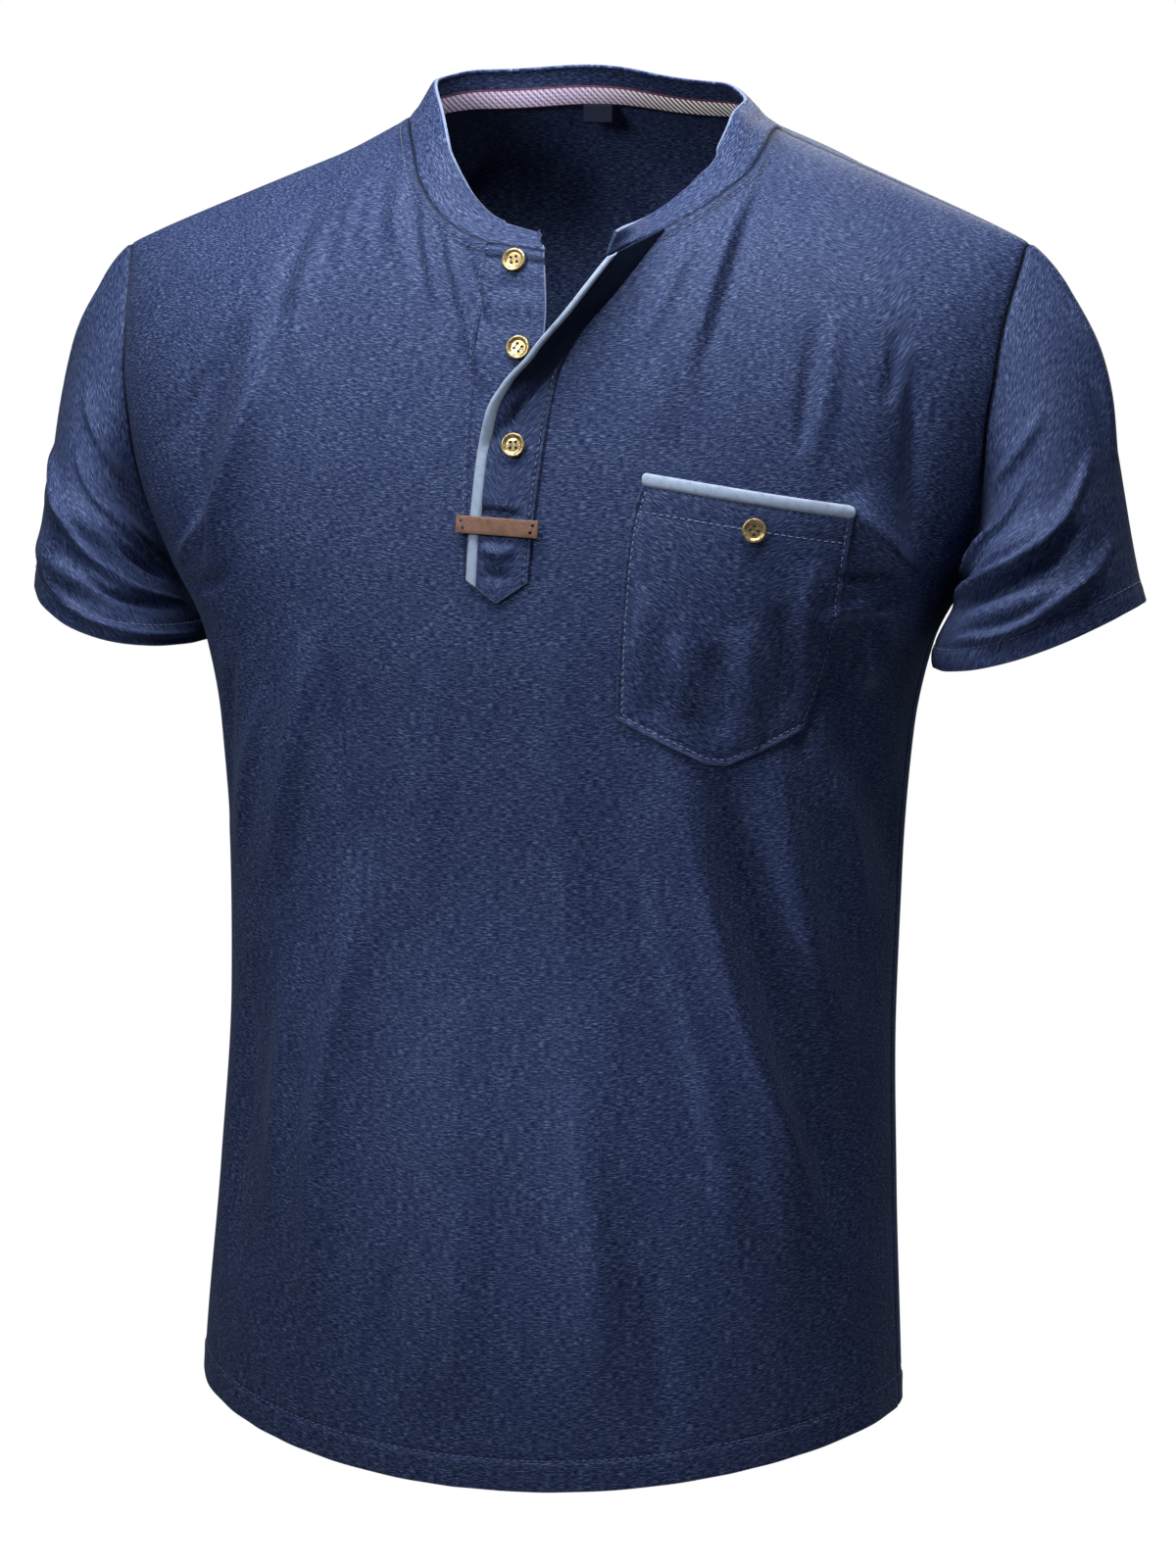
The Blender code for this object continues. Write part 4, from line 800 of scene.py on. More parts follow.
def jersey_paint(name, deep, fleck, flecks):
    """Slub jersey: dark navy with short pale flecks along the courses, a fine knit and a soft bloom."""
    material, dye, shader = new_material(name, {
        "Sheen Weight": 0.03, "Sheen Roughness": 0.45, "Sheen Tint": (0.65, 0.8, 1.0, 1.0),
        "Specular IOR Level": 0.18, "Specular Tint": (0.45, 0.62, 1.0, 1.0)})
    spot = dye.node("ShaderNodeUVMap", {}, uv_map="cloth")
    sway = spot.scaled(70, 110).noise(detail=1.0)
    course = spot.moved(dye.node("ShaderNodeCombineXYZ", {1: (sway - 0.5) * 0.0022}))
    fine = course.scaled(300, 1900).noise(detail=3.0, roughness=0.68)
    slub = course.scaled(110, 900).noise(detail=1.5)
    cloud = spot.scaled(38, 38).noise(detail=2.0)
    pale = fine.step(0.44, 0.68) * slub.step(0.3, 0.66, 0.35, 1.0) * cloud.step(0.25, 0.75, 0.75, 1.0)
    dark = fine.step(0.5, 0.3)
    ground = dye.plain(deep)
    colour = ground.mixed(tuple(0.3 * c for c in deep[:3]) + (1.0,), dark * 0.85)
    colour = colour.mixed(fleck, pale * flecks)
    # The per-point attribute paints light and shade: where it is above 0 the colour goes pale blue as a
    # painted highlight along edges, and where it is below 0 it goes near black as painted shade in seams,
    # grooves and on the inner face.
    edge = dye.node("ShaderNodeAttribute", {}, result=2, attribute_name="painted_light")
    colour = colour.mixed((0.2, 0.26, 0.42, 1.0), edge.step(0.45, 1.0) * 0.7)
    colour = colour.mixed((0.001, 0.002, 0.008, 1.0), edge.step(-0.02, -1.0) * 0.9)
    wale = dye.node("ShaderNodeTexWave", {"Vector": spot.scaled(1, 0.0), "Scale": 240.0, "Distortion": 0.0},
                    result=1, wave_type="BANDS", bands_direction="X")
    height = fine * 0.8 + wale * 0.12 + slub * 0.3
    bump = dye.node("ShaderNodeBump", {"Strength": 0.55, "Distance": 0.0005, "Height": height})
    rough = fine.step(0.3, 0.7, 0.62, 0.48)
    colour.feeds(shader, "Base Color")
    rough.feeds(shader, "Roughness")
    bump.feeds(shader, "Normal")
    return material


JERSEY = jersey_paint("navy_jersey", (0.0072, 0.0138, 0.057, 1.0), (0.12, 0.163, 0.3, 1.0), 0.84)

SEAM_DEEP = 0.0011
SEAM_WIDE = 0.0015
NECK_STITCH = 0.0055
NECK_WELT = 0.0004
HEM_STITCH = 0.015
HEM_PUFF = 0.0004
STITCH_DEEP = 0.00045
STITCH_WIDE = 0.0013


def stitch_trough(reach, at):
    return STITCH_DEEP * hump(reach - at, STITCH_WIDE)


def hem_relief(reach, round_it):
    """The turned-up hem is a little thicker, and puckers between its stitches."""
    turned = HEM_PUFF * held((HEM_STITCH - reach) / 0.002)
    pucker = 0.00028 * np.sin(round_it / 0.0016) * hump(reach - HEM_STITCH + 0.003, 0.004)
    wave = 0.00025 * np.sin(round_it / 0.0045 + 1.3 * np.sin(round_it / 0.021))
    return turned + (pucker + wave) * hump(reach, 0.022) - stitch_trough(reach, HEM_STITCH)


def panel(grid, seams, neck):
    """Outer points, outward directions and flat places of a panel, with its seams and hem pressed in."""
    outer, normal = body_surface(grid[..., 0], grid[..., 1])
    flat = lay_flat(outer)
    seam_reach = reach_from(outer, seams(outer))
    lift = -SEAM_DEEP * hump(seam_reach, SEAM_WIDE)
    neck_reach = reach_from(outer, neck(outer))
    lift = lift + hem_relief(flat[..., 1], flat[..., 0]) - stitch_trough(neck_reach, NECK_STITCH)
    lift = lift + NECK_WELT * held((NECK_STITCH - neck_reach) / 0.001)
    # Painted light per point: a painted highlight along the hem's edge, and painted shade in the seams, along
    # the neck topstitching and over the welt between the neck seam and that stitching.
    painted_light = 0.6 * hump(flat[..., 1], 0.0008) - 0.8 * hump(seam_reach, 0.0011)
    painted_light = painted_light - 0.5 * hump(neck_reach - NECK_STITCH, 0.0007) - 0.25 * (neck_reach < NECK_STITCH)
    return outer + normal * lift[..., None], normal, flat, neck_reach, painted_light


def line_where(points, normals, reach, want, columns):
    """The line on which the columns of a grid first come `want` away: points, outward directions."""
    found = []
    for k in columns:
        past = np.nonzero(reach[k] >= want)[0]
        if len(past) == 0 or past[0] == 0:
            continue
        j = past[0]
        f = (want - reach[k, j - 1]) / (reach[k, j] - reach[k, j - 1])
        found.append(np.concatenate([points[k, j - 1] * (1 - f) + points[k, j] * f, normals[k, j]]))
    found = np.array(found)
    return found[:, :3], found[:, 3:]


def thread_paint(name, colour):
    material, dye, shader = new_material(name, {"Roughness": 0.6, "Sheen Weight": 0.3})
    spot = dye.node("ShaderNodeTexCoord", {}, result=3)
    ground = dye.plain(colour)
    twist = spot.scaled(4000, 4000, 4000).noise()
    mixed = ground.mixed(tuple(min(1.0, 2.2 * c) for c in colour[:3]) + (1.0,), twist.step(0.4, 0.7))
    mixed.feeds(shader, "Base Color")
    return material


NAVY_THREAD = thread_paint("navy_thread", (0.02, 0.032, 0.095, 1.0))
PALE_THREAD = thread_paint("pale_blue_thread", (0.055, 0.08, 0.165, 1.0))
STITCH_LONG = 0.0026
STITCH_GAP = 0.0009
THREAD_RADIUS = 0.00026


def sew(name, seams, paint):
    """Short threads end to end along lines, each dipping into the cloth at both ends."""
    verts = []
    faces = []
    for points, outwards in seams:
        reach = lengths_along(points)
        for start in np.arange(STITCH_GAP, reach[-1] - STITCH_LONG, STITCH_LONG + STITCH_GAP):
            at = start + STITCH_LONG * np.array([0.0, 0.2, 0.8, 1.0])
            centre = np.stack([np.interp(at, reach, points[:, k]) for k in range(3)], axis=1)
            up = np.stack([np.interp(at, reach, outwards[:, k]) for k in range(3)], axis=1)
            up = unit(up)
            centre += up * (np.array([-0.6, 0.55, 0.55, -0.6]) * THREAD_RADIUS)[:, None]
            side = np.cross(up[0], centre[3] - centre[0])
            side /= np.linalg.norm(side)
            first = len(verts)
            verts.append(centre[0])
            for k in (1, 2):
                for spoke in (side, up[k], -side, -up[k]):
                    verts.append(centre[k] + spoke * THREAD_RADIUS)
            verts.append(centre[3])
            for k in range(4):
                n = (k + 1) % 4
                faces.append((first, first + 1 + n, first + 1 + k))
                faces.append((first + 1 + k, first + 1 + n, first + 5 + n, first + 5 + k))
                faces.append((first + 5 + k, first + 5 + n, first + 9))
    mesh = bpy.data.meshes.new(name)
    mesh.from_pydata([tuple(v) for v in verts], [], faces)
    mesh.shade_smooth()
    thing = bpy.data.objects.new(name, mesh)
    bpy.context.scene.collection.objects.link(thing)
    mesh.materials.append(paint)
    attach(thing, "root")
    return thing


grid, present, (slit_right, slit_left) = front_grid()
neck_columns = closer_at_ends(NECK_STEPS + SHOULDER_STEPS)
neck_count = int(np.sum(neck_columns <= NECK_STEPS))


def front_seams(outer):
    return outer[0], outer[-1], outer[:slit_right + 1, -1], outer[slit_left:, -1]


def front_neck(outer):
    return (outer[slit_right - neck_count + 1:slit_right + 1, -1],
            outer[slit_left:slit_left + neck_count, -1])


front_outer, front_normal, front_flat, front_neck_reach, painted_light = panel(grid, front_seams, front_neck)
front = cloth("front_panel_cloth", front_outer, front_normal, CLOTH, JERSEY, front_flat, present, painted_light=painted_light)
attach(front, "root")
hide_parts("front_panel")


# ================================================================ back panel
# The back is a plain piece of the same jersey. It is overlocked to the front at the shoulders and
# sides, rolls up a little behind the shoulder seams, and has the same stitched hem.
def back_neck(neck_x):
    """Half of the back neckline, from the middle to the shoulder seam, as (angle, drop)."""
    turn = np.linspace(math.pi / 2, 0.0, 120)
    x = neck_x * np.cos(turn)
    side_y = bare_surface(math.asin(neck_x / TABLE[0, 1]), 0.0)[..., 1]
    want = side_y + (NECK_BACK_Y - side_y) * np.sin(turn)
    low = np.zeros(x.shape)
    high = np.full(x.shape, UNDERARM_DROP)
    for _ in range(40):
        drop = (low + high) / 2
        y = bare_surface(math.pi - np.arcsin(x / section("half", drop)), drop)[..., 1]
        low = np.where(y < want, drop, low)
        high = np.where(y < want, high, drop)
    angle = np.arcsin(x / section("half", drop))
    reach = lengths_along(np.stack([x, want, height_at(x, drop)], axis=1))
    at = np.linspace(0.0, reach[-1], NECK_STEPS + 1)
    neck = np.stack([np.interp(at, reach, np.abs(angle)), np.interp(at, reach, drop)], axis=1)
    neck[-1, 1] = 0.0
    return neck


halves = []
for neck_x in (NECK_RIGHT[0][0], NECK_LEFT[0][0]):
    neck = back_neck(neck_x)
    drops = np.linspace(hem_drop(0.0), neck[0, 1], SIDE_STEPS + ARM_STEPS + 1)
    inner = np.stack([np.zeros(len(drops)), drops], axis=1)
    halves.append(half_panel(inner, neck, False))
right_half = mirrored(halves[0])
grid = np.concatenate([right_half, halves[1][1:]])
grid[..., 0] = math.pi - grid[..., 0]
grid = with_lines(grid.swapaxes(0, 1), ROW_PLACES).swapaxes(0, 1)
back_middle = len(right_half) - 1


def back_seams(outer):
    return outer[0], outer[-1], outer[:, -1]


def back_neck_line(outer):
    return (outer[back_middle - neck_count + 1:back_middle + neck_count, -1],)


back_outer, back_normal, back_flat, back_neck_reach, painted_light = panel(grid, back_seams, back_neck_line)
back = cloth("back_panel_cloth", back_outer, back_normal, CLOTH, JERSEY, back_flat, painted_light=painted_light)
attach(back, "root")
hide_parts("back_panel")

hem_lines = []
for points, normals, flat in ((front_outer, front_normal, front_flat), (back_outer, back_normal, back_flat)):
    hem_lines.append(line_where(points, normals, flat[..., 1], HEM_STITCH, range(len(points))))
sew("hem_stitching", hem_lines, NAVY_THREAD)
neck_lines = []
for points, normals, reach, columns in (
        (front_outer, front_normal, front_neck_reach, range(slit_right - neck_count - 2, slit_right)),
        (front_outer, front_normal, front_neck_reach, range(slit_left + 1, slit_left + neck_count + 3)),
        (back_outer, back_normal, back_neck_reach,
         range(back_middle - neck_count - 2, back_middle + neck_count + 3))):
    neck_lines.append(line_where(points[:, ::-1], normals[:, ::-1], reach[:, ::-1], NECK_STITCH, columns))
sew("neck_topstitching", neck_lines, NAVY_THREAD)


# ================================================================ sleeves
# Each short sleeve is one piece of the jersey, closed under the arm and overlocked into the armhole.
# Its cuff is turned up and stitched, and it creases where the arm hangs against the body.
SLEEVE_STEPS = 64
CUFF_CENTRE = {1: (0.2445, -0.008, -0.255), -1: (0.235, -0.006, -0.2585)}
CUFF_HALF_ACROSS = {1: 0.0535, -1: 0.0465}
CUFF_HALF_DEEP = {1: 0.062, -1: 0.065}
CUFF_TILT = {1: math.radians(18.0), -1: math.radians(20.0)}
CUFF_LEAN = {1: math.radians(18.0), -1: math.radians(6.0)}
CUFF_DIP = 0.006
HEAD_PUSH = {1: 0.14, -1: 0.107}
HEAD_DIRECTION = (0.8, 0.0, -0.6)
INSEAM_PUSH = 0.035
SIDE_PUSH = 0.07
SIDE_DIRECTION = (0.75, -0.45, -0.45)
CUFF_PULL = 0.05
CUFF_PULL_TOP = 0.1
CUFF_STITCH = 0.01
SLEEVE_ROUND = 0.38
SLEEVE_LONG = 0.2
SLEEVE_FOLD_START = 0.12
# turn and run of both ends in percent, half width and height in mm: a turn of 0 is the sleeve's top,
# 25 its front and 50 its underarm, and a run of 100 is the cuff
SLEEVE_FOLDS = (
    (40, 45, 8, 70, 10, 5.5),
    (36, 72, 6, 88, 9, 4.5),
    (44, 25, 26, 48, 9, 4),
    (62, 50, 90, 72, 11, 5),
)
# fine creases by side: turn and run of each place in percent, half widths and height in mm
SLEEVE_CREASES = {
    1: (
        ((42, 50, 30, 60, 20, 64.5, 12, 58, 7, 52), 3.5, 8, 2.6),
        ((38, 62, 28, 70, 19, 73, 10, 68), 6, 4, -1.6),
        ((36, 80, 24, 87.5, 13, 83, 5, 77.5), 4, 7, 1.8),
        ((46, 20, 36, 42, 26, 44, 20, 38), 4, 5, 1.8),
        ((45, 30, 34, 50, 25, 53), 4, 4, -1.4),
        ((30, 20, 22, 28, 14, 30), 7, 7, 1.2),
        ((2, 20, 0, 40, 2, 62), 9, 9, 1),
        ((62, 45, 74, 60, 86, 64), 4, 7, 2.2),
        ((58, 65, 70, 76, 84, 78), 5, 5, -1.4),
        ((60, 25, 70, 40, 80, 42), 5, 5, 1.5),
        ((92, 15, 90, 35, 93, 55), 8, 8, 1),
    ),
    -1: (
        ((46, 62, 34, 68, 24, 66, 15, 59, 6, 60), 3.5, 8, 2.2),
        ((42, 72, 30, 77, 20, 74), 5, 4, -1.4),
        ((46, 40, 36, 43.5, 25, 45, 18, 41), 4, 6, 1.8),
        ((44, 50, 34, 53, 25, 54), 4, 4, -1.3),
        ((48, 90, 34, 92.5, 21, 90, 12, 86), 4, 6, 1.4),
        ((32, 18, 24, 26, 14, 28), 7, 7, 1.2),
        ((2, 20, 0, 42, 3, 64), 9, 9, 1),
        ((62, 45, 74, 58, 86, 62), 4, 7, 2.2),
        ((58, 62, 70, 74, 84, 76), 5, 5, -1.4),
        ((60, 25, 70, 38, 80, 40), 5, 5, 1.5),
        ((92, 15, 90, 35, 93, 55), 8, 8, 1),
    ),
}


def armhole_ring(side):
    """Armhole as 3-D points, as if on the wearer's left: top, down the front, underarm, up the back."""
    front_half = armhole(True)[::-1]
    back_half = armhole(False)
    angle = np.concatenate([front_half[:, 0], math.pi - back_half[1:-1, 0]])
    drop = np.concatenate([front_half[:, 1], back_half[1:-1, 1]])
    return body_surface(angle * side, drop)[0] * np.array([side, 1.0, 1.0])


def cuff_ring(turn, side):
    """Cuff edge at each turn, as if on the wearer's left."""
    a = 2 * math.pi * turn
    centre = CUFF_CENTRE[side]
    across = CUFF_HALF_ACROSS[side] * np.cos(a)
    x = centre[0] + across * math.cos(CUFF_TILT[side])
    y = centre[1] - CUFF_HALF_DEEP[side] * np.sin(a)
    z = centre[2] + across * math.sin(CUFF_TILT[side]) - CUFF_DIP * np.sin(a) ** 2
    return np.stack([x, y, z], axis=-1)


def ring_normals(points):
    """Directions across a ring-shaped grid, pointing away from the ring's middle."""
    du = np.roll(points, -1, axis=0) - np.roll(points, 1, axis=0)
    normal = np.cross(du, np.gradient(points, axis=1))
    normal = unit(normal)
    away = points - points.mean(axis=0, keepdims=True)
    return normal if np.einsum("ijk,ijk->", normal, away) > 0 else -normal


def sleeve_grid(side):
    """A sleeve's points and outward directions as if on the left, columns round it, rows to the cuff."""
    ring = armhole_ring(side)
    count = len(ring)
    turn = np.arange(count) / count
    cuff = cuff_ring(turn, side)
    top = (1 + np.cos(2 * math.pi * turn)) / 2
    axis = np.array([math.sin(CUFF_LEAN[side]), 0.0, -math.cos(CUFF_LEAN[side])])
    lean = np.tile(SIDE_DIRECTION, (count, 1))
    lean[:, 1] *= np.sin(2 * math.pi * turn)
    leave = (HEAD_PUSH[side] * top ** 2)[:, None] * np.array(HEAD_DIRECTION)
    leave = leave + (INSEAM_PUSH + SIDE_PUSH * top * (1 - top))[:, None] * lean
    arrive = (CUFF_PULL + CUFF_PULL_TOP * top)[:, None] * axis
    runs = closer_at_ends(SLEEVE_STEPS) / SLEEVE_STEPS
    rows = []
    for t in runs:
        rows.append((2 * t ** 3 - 3 * t ** 2 + 1) * ring + (t ** 3 - 2 * t ** 2 + t) * leave
                    + (3 * t ** 2 - 2 * t ** 3) * cuff + (t ** 3 - t ** 2) * arrive)
    points = np.stack(rows, axis=1)
    normal = ring_normals(points)
    u = turn[:, None] * SLEEVE_ROUND + 0.0 * runs[None]
    v = runs[None] * SLEEVE_LONG + 0.0 * turn[:, None]
    percent = np.array((SLEEVE_ROUND, SLEEVE_LONG)) / 100
    lift = crease_height(u, v, SLEEVE_CREASES[side], percent)
    for t0, r0, t1, r1, wide, high in SLEEVE_FOLDS:
        lift = lift + soft_ridge(u, v, (t0, r0) * percent, (t1, r1) * percent, 0.0, MM * wide, MM * high)
    lift = lift * held(runs / SLEEVE_FOLD_START)
    to_cuff = np.linalg.norm(points - points[:, -1:], axis=-1)
    to_seam = np.linalg.norm(points - points[:, :1], axis=-1)
    around = lay_flat(points, ring=True)[:-1, :, 0]
    lift = lift - SEAM_DEEP * hump(to_seam, SEAM_WIDE) + HEM_PUFF * (to_cuff < CUFF_STITCH)
    lift = lift - stitch_trough(to_cuff, CUFF_STITCH)
    lift = lift + 0.00025 * np.sin(around / 0.004) * hump(to_cuff, 0.014)
    return points + normal * lift[..., None], normal, to_cuff


SLEEVE_CUT = {"left": (0.384, 0.188, 0.0384), "right": (0.373, 0.181, 0.0361)}
for name, side in (("left", 1), ("right", -1)):
    points, normal, to_cuff = sleeve_grid(side)
    turned = np.array([side, 1.0, 1.0])
    half = len(points) // 2
    points = np.roll(points * turned, half, axis=0)
    normal = np.roll(normal * turned, half, axis=0)
    to_cuff = np.roll(to_cuff, half, axis=0)
    uv = lay_flat(points, ring=True)
    to_seam = np.linalg.norm(points - points[:, :1], axis=-1)
    # A painted highlight along the cuff's edge and painted shade along the armhole seam.
    painted_light = 0.6 * hump(to_cuff, 0.0008) - 0.9 * hump(to_seam, 0.0012)
    sleeve = cloth("sleeve_%s_cloth" % name, points, normal, CLOTH, JERSEY, uv, ring=True, painted_light=painted_light)
    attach(sleeve, "root")
    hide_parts("sleeve_%s" % name)
    wide, long, cut = SLEEVE_CUT[name]
    line = line_where(points[:, ::-1], normal[:, ::-1], to_cuff[:, ::-1], CUFF_STITCH, range(len(points)))
    sew("cuff_stitching_%s" % name, [line], NAVY_THREAD)


# ================================================================ collar band
# The stand collar is a doubled strip of the jersey, sewn round the neck with its seam pressed down.
# Its top edge is a fold, and its front ends stand open above the placket.
UNDER_TOP_Z = (-0.0655, -0.0685)
UNDER_EDGE = ((0.0136, -0.0685), (0.018, -0.1037), (0.016, -0.155), (0.0148, -0.228))
BAND_CLOTH = 0.0019
# share of the way round, lean inwards, height; from the right front end to the left one
COLLAR_ROWS = (
    (0.0, math.radians(66.0), 0.015),
    (0.06, math.radians(62.0), 0.02),
    (0.14, math.radians(45.0), 0.022),
    (0.26, math.radians(38.0), 0.0215),
    (0.45, math.radians(14.0), 0.02),
    (0.62, math.radians(36.0), 0.0215),
    (0.74, math.radians(44.0), 0.0215),
    (0.86, math.radians(66.0), 0.021),
    (1.0, math.radians(70.0), 0.02),
)
COLLAR_UP = (0.0, 0.025, 0.07, 0.14, 0.25, 0.38, 0.5, 0.62, 0.74, 0.85, 0.93, 0.975, 1.0)
COLLAR_END_ROUND = 0.005
COLLAR_END_REACH = (0.0045, 0.0045, 0.0112)
COLLAR_CORNER = 0.006
# long creases in the band: share of the way round (start, end), share of its height, height
COLLAR_CREASES = (
    (0.02, 0.2, 0.3, 0.16, -0.0007),
    (0.04, 0.24, 0.52, 0.12, 0.0006),
    (0.08, 0.28, 0.72, 0.1, -0.0005),
    (0.16, 0.32, 0.4, 0.14, 0.0005),
    (0.68, 0.9, 0.35, 0.14, -0.0006),
    (0.72, 0.94, 0.6, 0.12, 0.0006),
    (0.8, 0.98, 0.78, 0.09, -0.0005),
    (0.4, 0.58, 0.55, 0.2, 0.0004),
)
# over placket by its seam's height: share that lies flat, reach to the right, forwards and down
FLAP_COLUMNS = ("z", "flat", "reach", "forward", "down")
FLAP = (
    (-0.226, 1.0, 0.0305, 0.0, 0.0),
    (-0.19, 1.0, 0.0315, 0.0, 0.0),
    (-0.168, 0.98, 0.032, 0.0, 0.0),
    (-0.148, 0.55, 0.029, 0.006, -0.002),
    (-0.128, 0.16, 0.0225, 0.013, 0.002),
    (-0.11, 0.0, 0.0175, 0.019, 0.0065),
    (-0.0855, 0.0, 0.0195, 0.025, 0.011),
    (-0.059, 0.0, 0.02, 0.028, 0.0125),
)
FLAP_LAP = 0.0012
FLAP_TIP = 0.0105
FLAP_TIP_RISE = 0.03
LEAST_TURN = 0.02


def flap_column(name, z):
    rows = np.array(FLAP)
    return smooth_through(rows[:, 0], rows[:, FLAP_COLUMNS.index(name)], z)


def flap_points(z_seam, share):
    """Inner-face points of the over placket: a row for each seam height, `share` of the way to its edge."""
    seam = np.array(OPENING_LEFT)
    x_seam = smooth_through(seam[:, 1], seam[:, 0], z_seam)[:, None] + FLAP_LAP
    z_seam = z_seam[:, None]
    flat = flap_column("flat", z_seam)
    reach = flap_column("reach", z_seam)
    laid = np.minimum(share, flat)
    turned = np.maximum(share - flat, 0.0)
    tip = FLAP_TIP * (1 - np.abs(2 * share - 1)) * held(1 - (z_seam - FLAP[0][0]) / FLAP_TIP_RISE)
    base, _ = front_at(x_seam - reach * laid, z_seam - tip, LAY_GAP)
    ahead = flap_column("forward", z_seam) / np.maximum(1 - flat, LEAST_TURN)
    down = flap_column("down", z_seam) / np.maximum(1 - flat, LEAST_TURN)
    return base + np.stack([-reach * turned, -ahead * turned, -down * turned], axis=-1)


def neck_seam():
    """The neck seam from the right front end, round the back, to the left corner: points and reach."""
    x = np.linspace(UNDER_EDGE[0][0], -SLIT_HALF, 40)
    z = np.linspace(UNDER_TOP_Z[1], UNDER_TOP_Z[0], 40)
    pieces = [np.concatenate(front_at(x, z), axis=-1)[:-1]]
    for neck, side, backwards in ((NECK_RIGHT, -1, False), (NECK_LEFT, 1, True)):
        half = neck_half(neck)
        front_part = np.concatenate(body_surface(half[:, 0] * side, half[:, 1]), axis=-1)
        half = back_neck(neck[0][0])[::-1]
        back_part = np.concatenate(body_surface((math.pi - half[:, 0] * side), half[:, 1]), axis=-1)
        whole = np.concatenate([front_part, back_part[1:]])
        pieces.append(whole[::-1][1:] if backwards else whole)
    line = np.concatenate(pieces)
    reach = lengths_along(line[:, :3])
    at = np.linspace(0.0, reach[-1], 241)
    at = np.concatenate([np.linspace(0, at[4], 19)[:-1], at[4:]])
    return np.stack([np.interp(at, reach, line[:, k]) for k in range(3)], axis=1), at


base, reach = neck_seam()
share = reach / reach[-1]
rows = np.array(COLLAR_ROWS)
lean = smooth_through(rows[:, 0], rows[:, 1], share)
high = smooth_through(rows[:, 0], rows[:, 2], share)
corner_cut = held(reach / COLLAR_CORNER)
high = high * (0.72 + 0.28 * np.sqrt(1 - (1 - corner_cut) ** 2))
tangent = np.gradient(base, reach, axis=0)
tangent = unit(tangent)
away = np.stack([tangent[:, 1], -tangent[:, 0], np.zeros(len(base))], axis=1)
away = unit(away)
if np.einsum("ij,ij->", away, base - base.mean(axis=0)) < 0:
    away = -away
rise = (np.cos(lean)[:, None] * np.array([0.0, 0.0, 1.0]) - np.sin(lean)[:, None] * away) * high[:, None]
end_share = held(1 - reach / 0.008)[:, None] ** 1.5
rise = rise + COLLAR_END_ROUND * tangent * end_share
corner = base[-1]
edge = flap_points(np.array([FLAP[-1][0]]), np.array([[1.0]]))[0, 0]
steps = np.linspace(0.0, 1.0, 13)[1:, None]
rise = np.concatenate([rise, rise[-1] * (1 - steps) + np.array(COLLAR_END_REACH) * steps])
base = np.concatenate([base, corner * (1 - steps) + edge * steps])
up = np.array(COLLAR_UP)
collar_points = base[:, None] + rise[:, None] * up[None, :, None]
du = np.gradient(collar_points, axis=0)
dv = np.gradient(collar_points, axis=1)
collar_normal = np.cross(du, dv)
collar_normal = unit(collar_normal)
if collar_normal[len(base) // 2, 0, 1] < 0:
    collar_normal = -collar_normal
around = np.linspace(0.0, 1.0, len(base))[:, None]
full_height = np.linalg.norm(rise, axis=1)[:, None]
from_seam = full_height * up[None]
lift = 0.0007 * hump(from_seam - 0.002, 0.0016) - 0.001 * hump(from_seam, 0.0008)
lift = lift - 0.0007 * hump(full_height - from_seam, 0.0012)
for start, end, level, wide, tall in COLLAR_CREASES:
    ends = held((around - start) * (end - around) * 4 / (end - start) ** 2)
    sway = 0.1 * np.sin((around - start) / (end - start) * 5.0)
    lift = lift + tall * ends * hump(up[None] - level - sway, wide)
# Painted highlights along the top fold, the right front end and just above the base seam, and painted shade
# in the base seam itself.
painted_light = np.zeros(collar_points.shape[:2])
painted_light[:, -1] = 0.9
painted_light[0, :] = 0.8
painted_light = painted_light + 0.62 * hump(from_seam - 0.0011, 0.0006) - 0.9 * hump(from_seam, 0.0006)
uv = lay_flat(collar_points)
collar_outer = collar_points + collar_normal * lift[..., None]
collar = cloth("collar_band_cloth", collar_outer, collar_normal, BAND_CLOTH, JERSEY, uv, painted_light=painted_light)
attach(collar, "root")
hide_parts("collar_band")


# ================================================================ neck tape and label
# A woven tape, striped on the slant, covers the neck seam inside the back from shoulder to shoulder.
# A small folded satin label, left bare, is caught under its lower edge.
TAPE_HIGH = 0.01
TAPE_CLOTH = 0.0009
TAPE_PITCH = 0.0031
LABEL_HALF = 0.0075
LABEL_DROP = 0.0085
LABEL_X = -0.004


